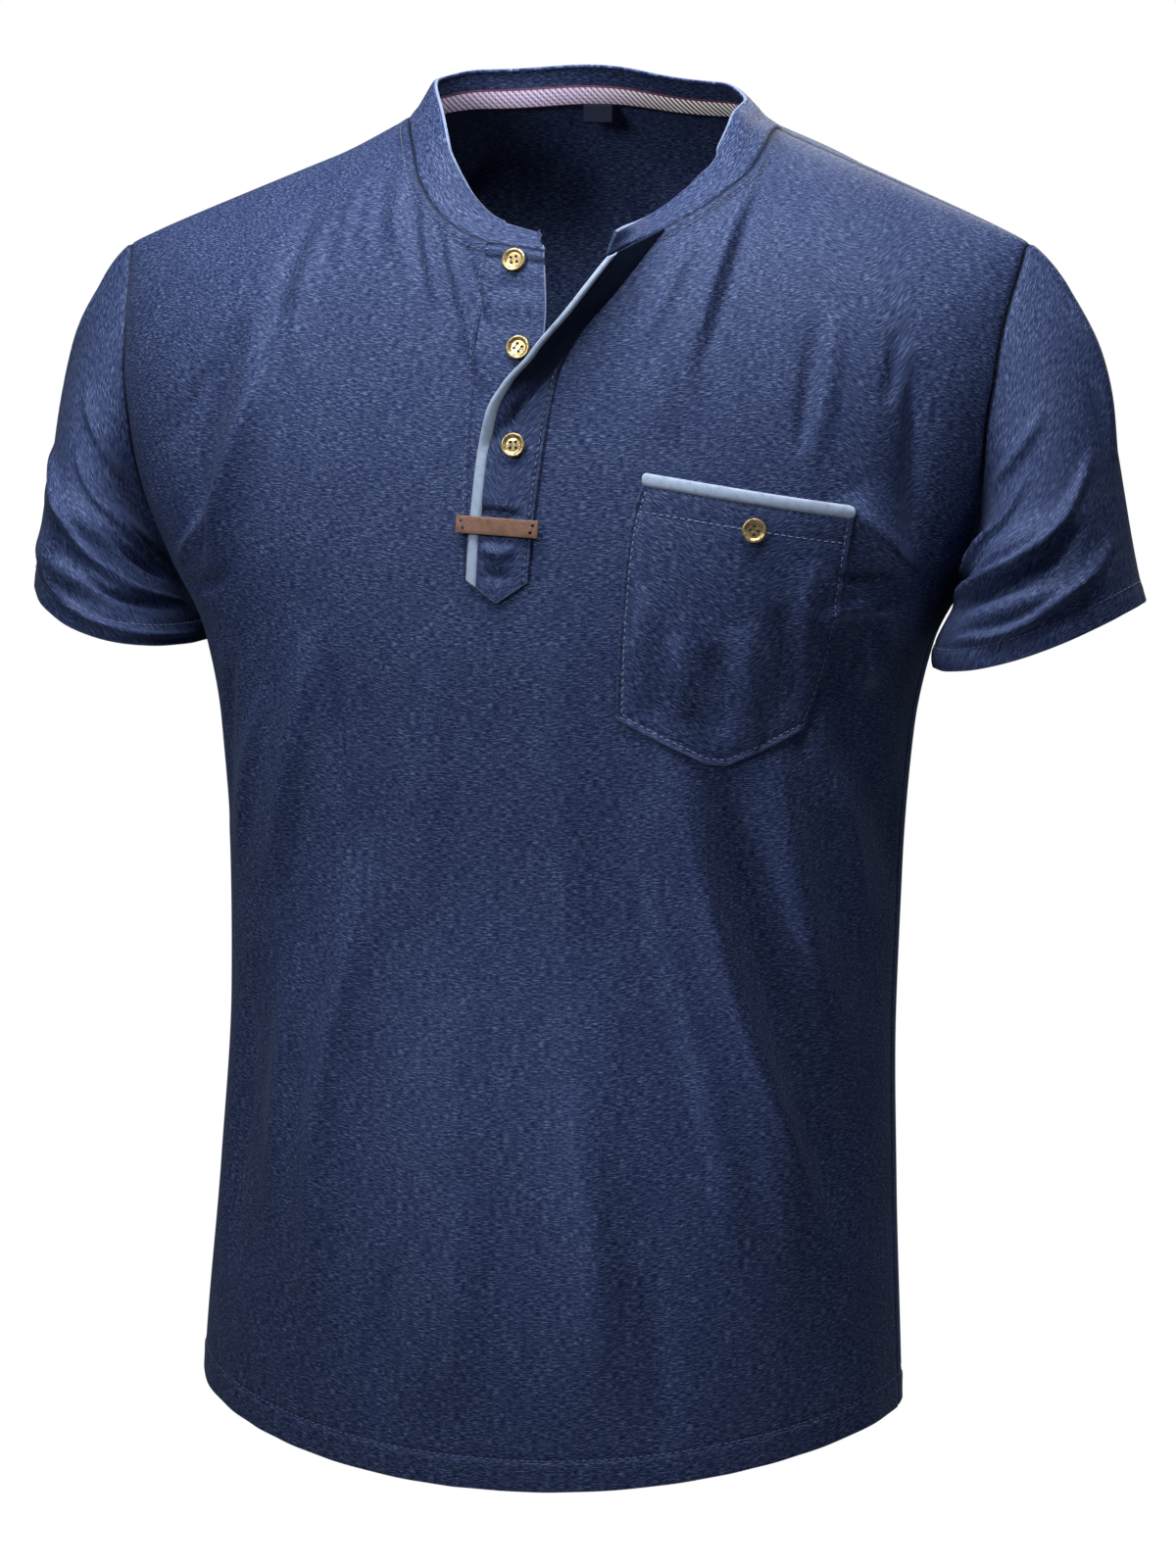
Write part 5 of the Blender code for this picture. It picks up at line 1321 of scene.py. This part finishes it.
def tape_paint():
    material, dye, shader = new_material("striped_tape", {"Roughness": 0.75, "Specular IOR Level": 0.3})
    spot = dye.node("ShaderNodeUVMap", {}, uv_map="cloth")
    parts = spot.node("ShaderNodeSeparateXYZ", {0: spot})
    across = Dye(dye.tree, parts.socket.node.outputs[1])
    slant = (parts + across * 0.85) * (2 * math.pi / TAPE_PITCH)
    stripe = dye.node("ShaderNodeMath", {0: slant}, operation="SINE")
    other = dye.node("ShaderNodeMath", {0: (parts - across * 0.85) * (2 * math.pi / TAPE_PITCH)},
                     operation="SINE")
    crossed = (stripe * other).step(-0.2, 0.3)
    to_left = parts.step(-0.035, 0.045)
    weave = spot.scaled(900, 3500).noise(detail=2.0)
    lilac = dye.plain((0.5, 0.42, 0.62, 1.0))
    pale = lilac.mixed((0.93, 0.86, 0.84, 1.0), to_left)
    navy = (0.02, 0.018, 0.06, 1.0)
    bars = (stripe.step(0.0, 0.35) * to_left.step(0.0, 1.0, 0.55, 1.0)
            + crossed * to_left.step(0.0, 1.0, 0.22, 0.0))
    colour = pale.mixed(navy, bars)
    rim = across.step(0.0009, 0.0004) + across.step(TAPE_HIGH - 0.0008, TAPE_HIGH - 0.0003)
    colour = colour.mixed((0.04, 0.006, 0.022, 1.0), rim)
    colour = colour.mixed((0.1, 0.07, 0.14, 1.0), weave.step(0.55, 0.75) * to_left.step(0.0, 1.0, 0.4, 0.12))
    bump = dye.node("ShaderNodeBump", {"Strength": 0.5, "Distance": 0.0003, "Height": weave + stripe * -0.4})
    colour.feeds(shader, "Base Color")
    bump.feeds(shader, "Normal")
    return material


right_shoulder = int(np.argmin(np.linalg.norm(base[:120] - body_surface(
    np.array(-math.asin(NECK_REACH / TABLE[0, 1])), np.array(0.0))[0], axis=1)))
left_shoulder = 120 + int(np.argmin(np.linalg.norm(base[120:] - body_surface(
    np.array(math.asin(NECK_LEFT[0][0] / TABLE[0, 1])), np.array(0.0))[0], axis=1)))
rows = slice(right_shoulder, left_shoulder + 1)
t = np.linspace(0.0, 1.0, 9)[None, :, None]
tape_base = base[rows][:, None] + rise[rows][:, None] * (t * TAPE_HIGH / full_height[rows][:, :, None])
tape_out = collar_normal[rows][:, :1]
crown = 0.0004 * np.sin(math.pi * t)
inside = tape_base - tape_out * (BAND_CLOTH + LAY_GAP + TAPE_CLOTH + crown)
tape = cloth("neck_tape_woven", inside, np.broadcast_to(-tape_out, inside.shape), TAPE_CLOTH, tape_paint(),
             lay_flat(inside))
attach(tape, "root")
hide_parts("neck_tape")


def label_paint():
    material, dye, shader = new_material("navy_satin", {"Roughness": 0.75, "Specular IOR Level": 0.08})
    spot = dye.node("ShaderNodeTexCoord", {}, result=3)
    thread = spot.scaled(900, 900, 5200).noise()
    ground = dye.plain((0.002, 0.003, 0.01, 1.0))
    ground.mixed((0.004, 0.0055, 0.016, 1.0), thread.step(0.4, 0.7)).feeds(shader, "Base Color")
    bump = dye.node("ShaderNodeBump", {"Strength": 0.4, "Distance": 0.0002, "Height": thread})
    bump.feeds(shader, "Normal")
    return material


over = np.abs(inside[:, 0, 0] - LABEL_X) < 2 * LABEL_HALF
foot = inside[over, 0].min(axis=0)
x, z = np.meshgrid(np.linspace(LABEL_X - LABEL_HALF, LABEL_X + LABEL_HALF, 17),
                   np.linspace(foot[2] + 0.0006, foot[2] - LABEL_DROP, 11), indexing="ij")
curl = 0.0007 * (foot[2] - z) / LABEL_DROP * (1 + 0.3 * np.cos((x - LABEL_X) / LABEL_HALF * 2))
label_points = np.stack([x, foot[1] - 0.0002 - curl, z], axis=-1)
label_out = np.zeros_like(label_points)
label_out[..., 1] = -1.0
label = cloth("neck_label_blank", label_points, label_out, 0.0008, label_paint())
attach(label, "root")
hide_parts("neck_label")


# ================================================================ plackets and piping
# The button stand fills the slit's right side. The buttonhole stand is sewn to its left side, laps
# over it in a pointed foot, and is turned forwards above; a pale blue strip pipes its free edge.
TRIM_SHARE = 0.155
TRIM_CLOTH = 0.0021


def edge_lines(count):
    """Shares 0 to 1 with closer lines beside both ends."""
    return closer_at_ends(count) / count


def sheet_normals(points):
    """Directions across an open grid of points, on its front side."""
    normal = np.cross(np.gradient(points, axis=0), np.gradient(points, axis=1))
    normal = unit(normal)
    return normal if normal[..., 1].sum() < 0 else -normal


share = edge_lines(16)[:, None]
top = UNDER_TOP_Z[0] * (1 - share) + UNDER_TOP_Z[1] * share - LAY_GAP
t = edge_lines(80)[None, :]
z = top * (1 - t) + (SLIT_FOOT_Z + LAY_GAP) * t
edge_rows = np.array(UNDER_EDGE)[::-1]
free = smooth_through(edge_rows[:, 1], edge_rows[:, 0], z[-1])[None, :]
x = -SLIT_HALF + (free + SLIT_HALF) * share
points, normal = front_at(x, z, 0.0)
ripple = 0.00045 * np.sin(z / 0.0034 + 2.2 * np.sin(z / 0.013)) * np.sin(math.pi * share) ** 0.7
lift = -0.0004 * hump(x + SLIT_HALF, SEAM_WIDE) + ripple
lift = lift - 0.0012 * hump(top - z, 0.0012) + 0.0011 * hump(top - z - 0.0034, 0.0013)
under_outer = points + normal * lift[..., None]
# A painted highlight along the free edge, and painted shade under the top and in a line about 5.6 mm below
# it.
painted_light = np.zeros(points.shape[:2])
painted_light[-1] = 0.9
painted_light = painted_light - 0.7 * hump(top - z, 0.0016) - 0.9 * hump(top - z - 0.0056, 0.0012)
under = cloth("under_placket_cloth", under_outer, normal, CLOTH, JERSEY, painted_light=painted_light)
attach(under, "root")
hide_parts("under_placket")
seam_x = np.full(60, -SLIT_HALF - 0.0016)
seam_z = np.linspace(-0.072, SLIT_FOOT_Z + 0.004, 60)

z = FLAP[0][0] + (FLAP[-1][0] - FLAP[0][0]) * edge_lines(110)
share = edge_lines(26)[None, :] * (1 - TRIM_SHARE)
points = flap_points(z, share)
normal = sheet_normals(points)
from_seam = share * flap_column("reach", z)[:, None]
flat_part = held((-0.13 - z) / 0.03)[:, None]
lift = 0.001 * hump(from_seam, 0.003) * 0.4 - 0.0006 * hump(from_seam - 0.0018, 0.0008)
lift = lift + 0.0006 * flat_part * np.sin(math.pi * share / (1 - TRIM_SHARE))
lift = lift * flat_part
u = points[..., 0]
v = points[..., 2]
lift = lift + flat_part * crease_height(u, v, (
    ((23, -128, 12, -141, 5, -153), 2.2, 3.5, -1.6),
    ((18, -125, 7, -138, 0, -150), 3.5, 2.5, 1),
    ((-10, -193, 2, -194, 13, -195), 2.5, 4, -1.2),
    ((-8, -210, 2, -213, 11, -211), 3.5, 3, 1),
    ((-6, -222, 3, -224, 9, -222), 3, 3, -0.7),
))
over_outer = points + normal * (CLOTH + lift)[..., None]
# Painted shade, near black, over the turned-forward upper part and in a line along the seam stitching; a
# painted highlight along the pointed foot's edge.
painted_light = -0.85 * (1 - held((-0.128 - z) / 0.012))[:, None] * np.ones(points.shape[:2])
painted_light = painted_light - 0.8 * hump(from_seam - 0.0018, 0.0006)
painted_light[0] = 1.0
over_placket = cloth("over_placket_cloth", over_outer, normal, CLOTH, JERSEY,
                     lay_flat(over_outer.swapaxes(0, 1)).swapaxes(0, 1), painted_light=painted_light)
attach(over_placket, "root")
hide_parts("over_placket")
k = int(np.argmin(np.abs(share[0] * 0.031 - 0.0018)))
low_rows = z < -0.122
placket_line = (over_outer[low_rows, k], normal[low_rows, k])


def piping_paint(name, colour):
    """Fine poplin: pale blue with a close weave and a faint mottling."""
    material, dye, shader = new_material(name, {
        "Sheen Weight": 0.15, "Sheen Tint": (0.9, 0.95, 1.0, 1.0), "Specular IOR Level": 0.3})
    spot = dye.node("ShaderNodeUVMap", {}, uv_map="cloth")
    weave = spot.scaled(2600, 2600).noise(detail=1.0)
    mottle = spot.scaled(260, 260).noise(detail=3.0)
    ground = dye.plain(colour)
    mixed = ground.mixed(tuple(0.62 * c for c in colour[:3]) + (1.0,), mottle.step(0.45, 0.75) * 0.7)
    mixed = mixed.mixed(tuple(min(1.0, 1.35 * c) for c in colour[:3]) + (1.0,), weave.step(0.5, 0.7) * 0.5)
    bump = dye.node("ShaderNodeBump", {"Strength": 0.45, "Distance": 0.0002, "Height": weave + mottle * 0.6})
    mixed.feeds(shader, "Base Color")
    mottle.step(0.3, 0.7, 0.65, 0.85).feeds(shader, "Roughness")
    bump.feeds(shader, "Normal")
    return material


PALE_BLUE = piping_paint("pale_blue_piping", (0.19, 0.25, 0.37, 1.0))
share = (1 - TRIM_SHARE) + TRIM_SHARE * np.array([0.0, 0.08, 0.2, 0.35, 0.5, 0.65, 0.8, 0.92, 1.0])[None, :]
points = flap_points(z, share)
normal = sheet_normals(points)
s = (share - 1 + TRIM_SHARE) / TRIM_SHARE
proud = 0.0012 + (TRIM_CLOTH - 0.0012) * np.sqrt(held(1 - (2 * s - 1) ** 2))
piping_outer = points + normal * (proud + 0.0 * z[:, None])[..., None]
piping = cloth("placket_piping", piping_outer, normal, 0.0012, PALE_BLUE)
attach(piping, "root")
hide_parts("placket_trim")


def on_front(x, z, out):
    points, normals = front_at(np.asarray(x), np.asarray(z), out)
    return points, normals


sew("placket_stitching", [on_front(seam_x, seam_z, 0.0), placket_line], NAVY_THREAD)


# ================================================================ chest pocket
# A patch of the jersey, its edges turned in and stitched down on the left chest, with a lower edge
# cut to a blunt point. A pale blue strip binds its mouth, above a line of stitching and a button.
POCKET_GAP = 0.0002
POCKET_LEFT = ((0.0713, -0.179), (0.0662, -0.2002), (0.0624, -0.2534), (0.0612, -0.2901))
POCKET_RIGHT = ((0.1678, -0.194), (0.165, -0.214), (0.1572, -0.2586), (0.1455, -0.2955))
POCKET_FOOT = ((0.0612, -0.2901), (0.103, -0.3118), (0.112, -0.3126), (0.1455, -0.2955))
POCKET_TRIM_HIGH = 0.0055
POCKET_BULGE = 0.002
POCKET_BULGE_RISE = 2.2
POCKET_BAND = 0.0125
POCKET_STEPS = 54
POCKET_CREASES = (
    ((89, -250, 91, -268, 95, -290), 6, 5, 1.4),
    ((119, -245, 121, -272, 125, -306), 6, 8, 2),
    ((104, -255, 107, -275, 110, -300), 6, 6, -1.4),
    ((136, -235, 139, -262, 136, -290), 6, 6, -1.3),
    ((150, -215, 147, -240, 143, -270), 5, 6, 1.2),
    ((75, -225, 73, -255, 76, -285), 6, 5, 0.8),
)
left = along(POCKET_LEFT[::-1], POCKET_STEPS)
right = along(POCKET_RIGHT[::-1], POCKET_STEPS)
bottom = evenly(np.array(POCKET_FOOT), POCKET_STEPS)
mouth = evenly(np.array((POCKET_LEFT[0], POCKET_RIGHT[0])), POCKET_STEPS)
grid = coons(left, right, bottom, mouth)
places = closer_at_ends(POCKET_STEPS)
grid = with_lines(with_lines(grid, places).swapaxes(0, 1), places).swapaxes(0, 1)
c = (2 * places / POCKET_STEPS - 1)[:, None]
r = (places / POCKET_STEPS)[None, :]
bulge = POCKET_BULGE * (1 - c ** 2) * np.minimum(1.0, POCKET_BULGE_RISE * r)
bare, bare_normal = front_at(grid[..., 0], grid[..., 1])
sides = (bare[0], bare[-1], bare[:, 0])
to_side = reach_from(bare, sides)
to_mouth = reach_from(bare, (bare[:, -1],))
lift = POCKET_GAP + bulge + CLOTH + crease_height(grid[..., 0], grid[..., 1], POCKET_CREASES)
lift = lift + 0.0005 * hump(to_side, 0.0018) - 0.0007 * hump(to_side - 0.0022, 0.001)
lift = lift - 0.0006 * hump(to_mouth - POCKET_BAND, 0.001)
lift = lift - 0.0007 * hump(to_mouth, 0.0012)
lift = lift + 0.0002 * np.sin(grid[..., 0] / 0.0019) * hump(to_mouth - POCKET_BAND, 0.004)
pocket_outer = bare + bare_normal * lift[..., None]
# A painted highlight along the pocket's lower edge, and a fainter one along its side nearer the placket.
painted_light = np.zeros(pocket_outer.shape[:2])
painted_light[:, 0] = 0.8
painted_light[0, :] = 0.35
pocket = cloth("pocket_cloth", pocket_outer, bare_normal, CLOTH, JERSEY, painted_light=painted_light)
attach(pocket, "root")
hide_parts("pocket")

edge = grid[:, -1]
binding_lines = np.array([0.0, 0.06, 0.16, 0.3, 0.45, 0.6, 0.75, 0.88, 0.96, 1.0])
end_x = (edge[:, 0] - edge[0, 0]) / (edge[-1, 0] - edge[0, 0])
length = np.linalg.norm(edge[-1] - edge[0])
to_end = np.minimum(end_x, 1 - end_x) * length
rounding = np.sqrt(held(1 - (1 - held(to_end / 0.0022)) ** 2))
rounding = (0.45 + 0.55 * rounding)[:, None]
t = 0.5 + (binding_lines[None] - 0.5) * rounding
x = edge[:, :1] + 0.0 * t
z = edge[:, 1:] + POCKET_TRIM_HIGH * t
points, normal = front_at(x, z, POCKET_GAP + bulge[:, -1:])
proud = 0.0013 + (TRIM_CLOTH - 0.0013) * np.sqrt(held(1 - (2 * binding_lines - 1) ** 2))[None]
proud = proud * (0.6 + 0.4 * rounding)
binding = cloth("pocket_binding", points + normal * proud[..., None], normal, 0.0012, PALE_BLUE)
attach(binding, "root")
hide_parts("pocket_trim")

flat_rows = range(2, len(pocket_outer) - 2)
band_line = line_where(pocket_outer[:, ::-1], bare_normal[:, ::-1], to_mouth[:, ::-1], POCKET_BAND, flat_rows)
mouth_line = line_where(pocket_outer[:, ::-1], bare_normal[:, ::-1], to_mouth[:, ::-1], 0.001, flat_rows)
foot_line = line_where(pocket_outer, bare_normal, to_side, 0.0022, flat_rows)
turned_outer = pocket_outer.swapaxes(0, 1)
turned_normal = bare_normal.swapaxes(0, 1)
turned_reach = to_side.swapaxes(0, 1)
high_rows = range(2, turned_outer.shape[0] - 1)
left_line = line_where(turned_outer, turned_normal, turned_reach, 0.0022, high_rows)
right_line = line_where(turned_outer[:, ::-1], turned_normal[:, ::-1], turned_reach[:, ::-1],
                        0.0022, high_rows)
sew("pocket_stitching", [band_line, foot_line, left_line, right_line], PALE_THREAD)
sew("binding_stitching", [mouth_line], NAVY_THREAD)


# ================================================================ leather tab
# A narrow strip of brown leather with cut edges crosses the foot of the placket. It is stitched
# through two small holes at each end.
TAB_CENTRE = (0.0013, -0.2003)
TAB_LONG = 0.0415
TAB_HIGH = 0.0085
TAB_THICK = 0.0014
TAB_TILT = math.radians(-2.4)
TAB_HOLE = 0.0008


def leather_paint():
    material, dye, shader = new_material("brown_leather", {"Specular IOR Level": 0.35})
    spot = dye.node("ShaderNodeTexCoord", {}, result=3)
    grain = dye.node("ShaderNodeTexVoronoi", {"Vector": spot, "Scale": 1500.0})
    mottle = spot.scaled(260, 260, 260).noise(detail=3.0)
    ground = dye.plain((0.12, 0.062, 0.043, 1.0))
    colour = ground.mixed((0.07, 0.034, 0.024, 1.0), mottle.step(0.4, 0.72) * 0.8)
    colour = colour.mixed((0.2, 0.11, 0.075, 1.0), grain.step(0.5, 0.15) * 0.3)
    bump = dye.node("ShaderNodeBump", {"Strength": 0.35, "Distance": 0.0002, "Height": grain + mottle})
    colour.feeds(shader, "Base Color")
    mottle.step(0.3, 0.7, 0.45, 0.62).feeds(shader, "Roughness")
    bump.feeds(shader, "Normal")
    return material


def frame_at(x, z, out, tilt=0.0):
    """A matrix that sets a piece modelled flat at the origin on the front: x across, y up, z outwards."""
    point, normal = front_at(np.array([x]), np.array([z]), out)
    outwards = Vector(normal[0])
    across = Vector((0, 0, 1)).cross(outwards).normalized()
    up = outwards.cross(across)
    place = Matrix((across, up, outwards)).transposed().to_4x4()
    place.translation = Vector(point[0])
    return place @ Matrix.Rotation(tilt, 4, "Z")


def set_down(thing, place):
    """Puts a finished piece in its place, with the place in its mesh."""
    thing.data.transform(place)
    thing.data.update()


def cut_holes(thing, holes, radius, deep):
    """Cuts round holes down through a piece with boolean differences."""
    for x, y in holes:
        bpy.ops.object.select_all(action="DESELECT")
        bpy.ops.mesh.primitive_cylinder_add(vertices=14, radius=radius, depth=deep, location=(x, y, 0.0))
        tool = bpy.context.object
        bpy.ops.object.select_all(action="DESELECT")
        thing.select_set(True)
        bpy.context.view_layer.objects.active = thing
        cut = thing.modifiers.new("hole", "BOOLEAN")
        cut.operation = "DIFFERENCE"
        cut.object = tool
        bpy.ops.object.modifier_apply(modifier=cut.name)
        bpy.data.objects.remove(tool)


bpy.ops.object.select_all(action="DESELECT")
bpy.ops.mesh.primitive_cube_add(size=1.0, location=(0, 0, TAB_THICK / 2),
                                scale=(TAB_LONG, TAB_HIGH, TAB_THICK))
tab = bpy.context.object
tab.name = "leather_tab_strip"
bpy.ops.object.transform_apply(location=True, scale=True)
bevel = tab.modifiers.new("cut_edges", "BEVEL")
bevel.width = 0.00032
bevel.segments = 3
bpy.ops.object.modifier_apply(modifier=bevel.name)
hole_x = TAB_LONG / 2 - 0.0032
cut_holes(tab, [(sx * (hole_x + 0.0005 * sy), sy * 0.0017) for sx in (-1, 1) for sy in (-1, 1)],
          TAB_HOLE, 0.01)
bpy.ops.object.shade_smooth_by_angle(angle=math.radians(40))
tab_out = LAY_GAP + CLOTH + 0.0007
tab_place = frame_at(TAB_CENTRE[0], TAB_CENTRE[1], tab_out, TAB_TILT)
set_down(tab, tab_place)
tab.data.materials.clear()
tab.data.materials.append(leather_paint())
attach(tab, "root")
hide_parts("leather_tab")
BROWN_THREAD = thread_paint("brown_thread", (0.02, 0.012, 0.01, 1.0))
tab_seams = []
for sx in (-1, 1):
    ends = [tab_place @ Vector((sx * (hole_x + 0.0005 * sy), sy * 0.0021, TAB_THICK - 0.00015))
            for sy in (-1, 1)]
    line = np.linspace(np.array(ends[0]), np.array(ends[1]), 12)
    tab_seams.append((line, np.tile(np.array(tab_place.to_3x3() @ Vector((0, 0, 1))), (12, 1))))
sew("tab_stitching", tab_seams, BROWN_THREAD)


# ================================================================ buttons
# Four turned buttons of brassy resin, each with a raised rim round a dished middle and four holes
# sewn with thread. Three close the placket and one the pocket; all are fastened or left as shown.
BUTTON_RADIUS = 0.0058
BUTTON_RIM = 0.0026
BUTTON_DISH = 0.0015
BUTTON_HOLE = 0.00075
BUTTON_HOLE_OUT = 0.00135
BUTTONS = (
    ("button_top", 0.0, -0.0745, LAY_GAP, 12),
    ("button_middle", 0.0065, -0.1155, LAY_GAP, -34),
    ("button_lower", 0.0078, -0.1615, 0.0022, 3),
    ("pocket_button", 0.1243, -0.1995, 0.0045, 40),
)


def brass_paint():
    material, dye, shader = new_material("brassy_resin", {"Coat Roughness": 0.08, "Specular IOR Level": 0.6})
    spot = dye.node("ShaderNodeTexCoord", {}, result=3)
    swirl = spot.scaled(420, 420, 420).noise(detail=3.0, distortion=1.2)
    fine = spot.scaled(2600, 2600, 2600).noise(detail=2.0)
    ground = dye.plain((0.34, 0.26, 0.12, 1.0))
    colour = ground.mixed((0.09, 0.055, 0.022, 1.0), swirl.step(0.47, 0.66) * 0.85)
    colour = colour.mixed((0.55, 0.48, 0.29, 1.0), swirl.step(0.46, 0.28) * 0.7)
    bump = dye.node("ShaderNodeBump", {"Strength": 0.15, "Distance": 0.0002, "Height": fine})
    colour.feeds(shader, "Base Color")
    fine.step(0.3, 0.7, 0.18, 0.34).feeds(shader, "Roughness")
    swirl.step(0.3, 0.7, 0.75, 0.35).feeds(shader, "Metallic")
    bump.feeds(shader, "Normal")
    return material


bpy.ops.object.select_all(action="DESELECT")
bpy.ops.mesh.primitive_cylinder_add(vertices=40, radius=BUTTON_RADIUS, depth=BUTTON_RIM,
                                    location=(0, 0, BUTTON_RIM / 2))
blank = bpy.context.object
bpy.ops.object.transform_apply(location=True)
bpy.ops.object.mode_set(mode="EDIT")
bpy.ops.mesh.select_all(action="DESELECT")
bpy.ops.object.mode_set(mode="OBJECT")
for face in blank.data.polygons:
    face.select = face.normal.z > 0.9
bpy.ops.object.mode_set(mode="EDIT")
bpy.ops.mesh.select_mode(type="FACE")
bpy.ops.mesh.inset(thickness=BUTTON_RADIUS * 0.2)
bpy.ops.mesh.inset(thickness=BUTTON_RADIUS * 0.14)
bpy.ops.transform.translate(value=(0, 0, BUTTON_DISH - BUTTON_RIM))
bpy.ops.mesh.inset(thickness=BUTTON_RADIUS * 0.22)
bpy.ops.transform.translate(value=(0, 0, 0.0002))
bpy.ops.object.mode_set(mode="OBJECT")
bevel = blank.modifiers.new("turned_edges", "BEVEL")
bevel.width = 0.00055
bevel.segments = 3
bevel.limit_method = "ANGLE"
bevel.angle_limit = math.radians(35)
bpy.ops.object.modifier_apply(modifier=bevel.name)
spots = [(BUTTON_HOLE_OUT * sx, BUTTON_HOLE_OUT * sy) for sx in (-1, 1) for sy in (-1, 1)]
cut_holes(blank, spots, BUTTON_HOLE, 0.012)
bpy.ops.object.shade_smooth_by_angle(angle=math.radians(35))
blank.data.materials.clear()
blank.data.materials.append(brass_paint())
DARK_THREAD = thread_paint("button_thread", (0.055, 0.045, 0.04, 1.0))
button_seams = []
for name, x, z, out, turn in BUTTONS:
    button = blank.copy()
    button.data = blank.data.copy()
    button.name = name + "_turned"
    bpy.context.scene.collection.objects.link(button)
    place = frame_at(x, z, out, math.radians(turn))
    set_down(button, place)
    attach(button, "root")
    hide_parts(name)
    outwards = np.tile(np.array(place.to_3x3() @ Vector((0, 0, 1))), (10, 1))
    for sx in (-1, 1):
        ends = [place @ Vector((BUTTON_HOLE_OUT * sx, 1.25 * BUTTON_HOLE_OUT * sy, BUTTON_DISH + 0.0002))
                for sy in (-1, 1)]
        button_seams.append((np.linspace(np.array(ends[0]), np.array(ends[1]), 10), outwards))
bpy.data.objects.remove(blank)
STITCH_GAP = 0.0001
sew("button_threads", button_seams, DARK_THREAD)
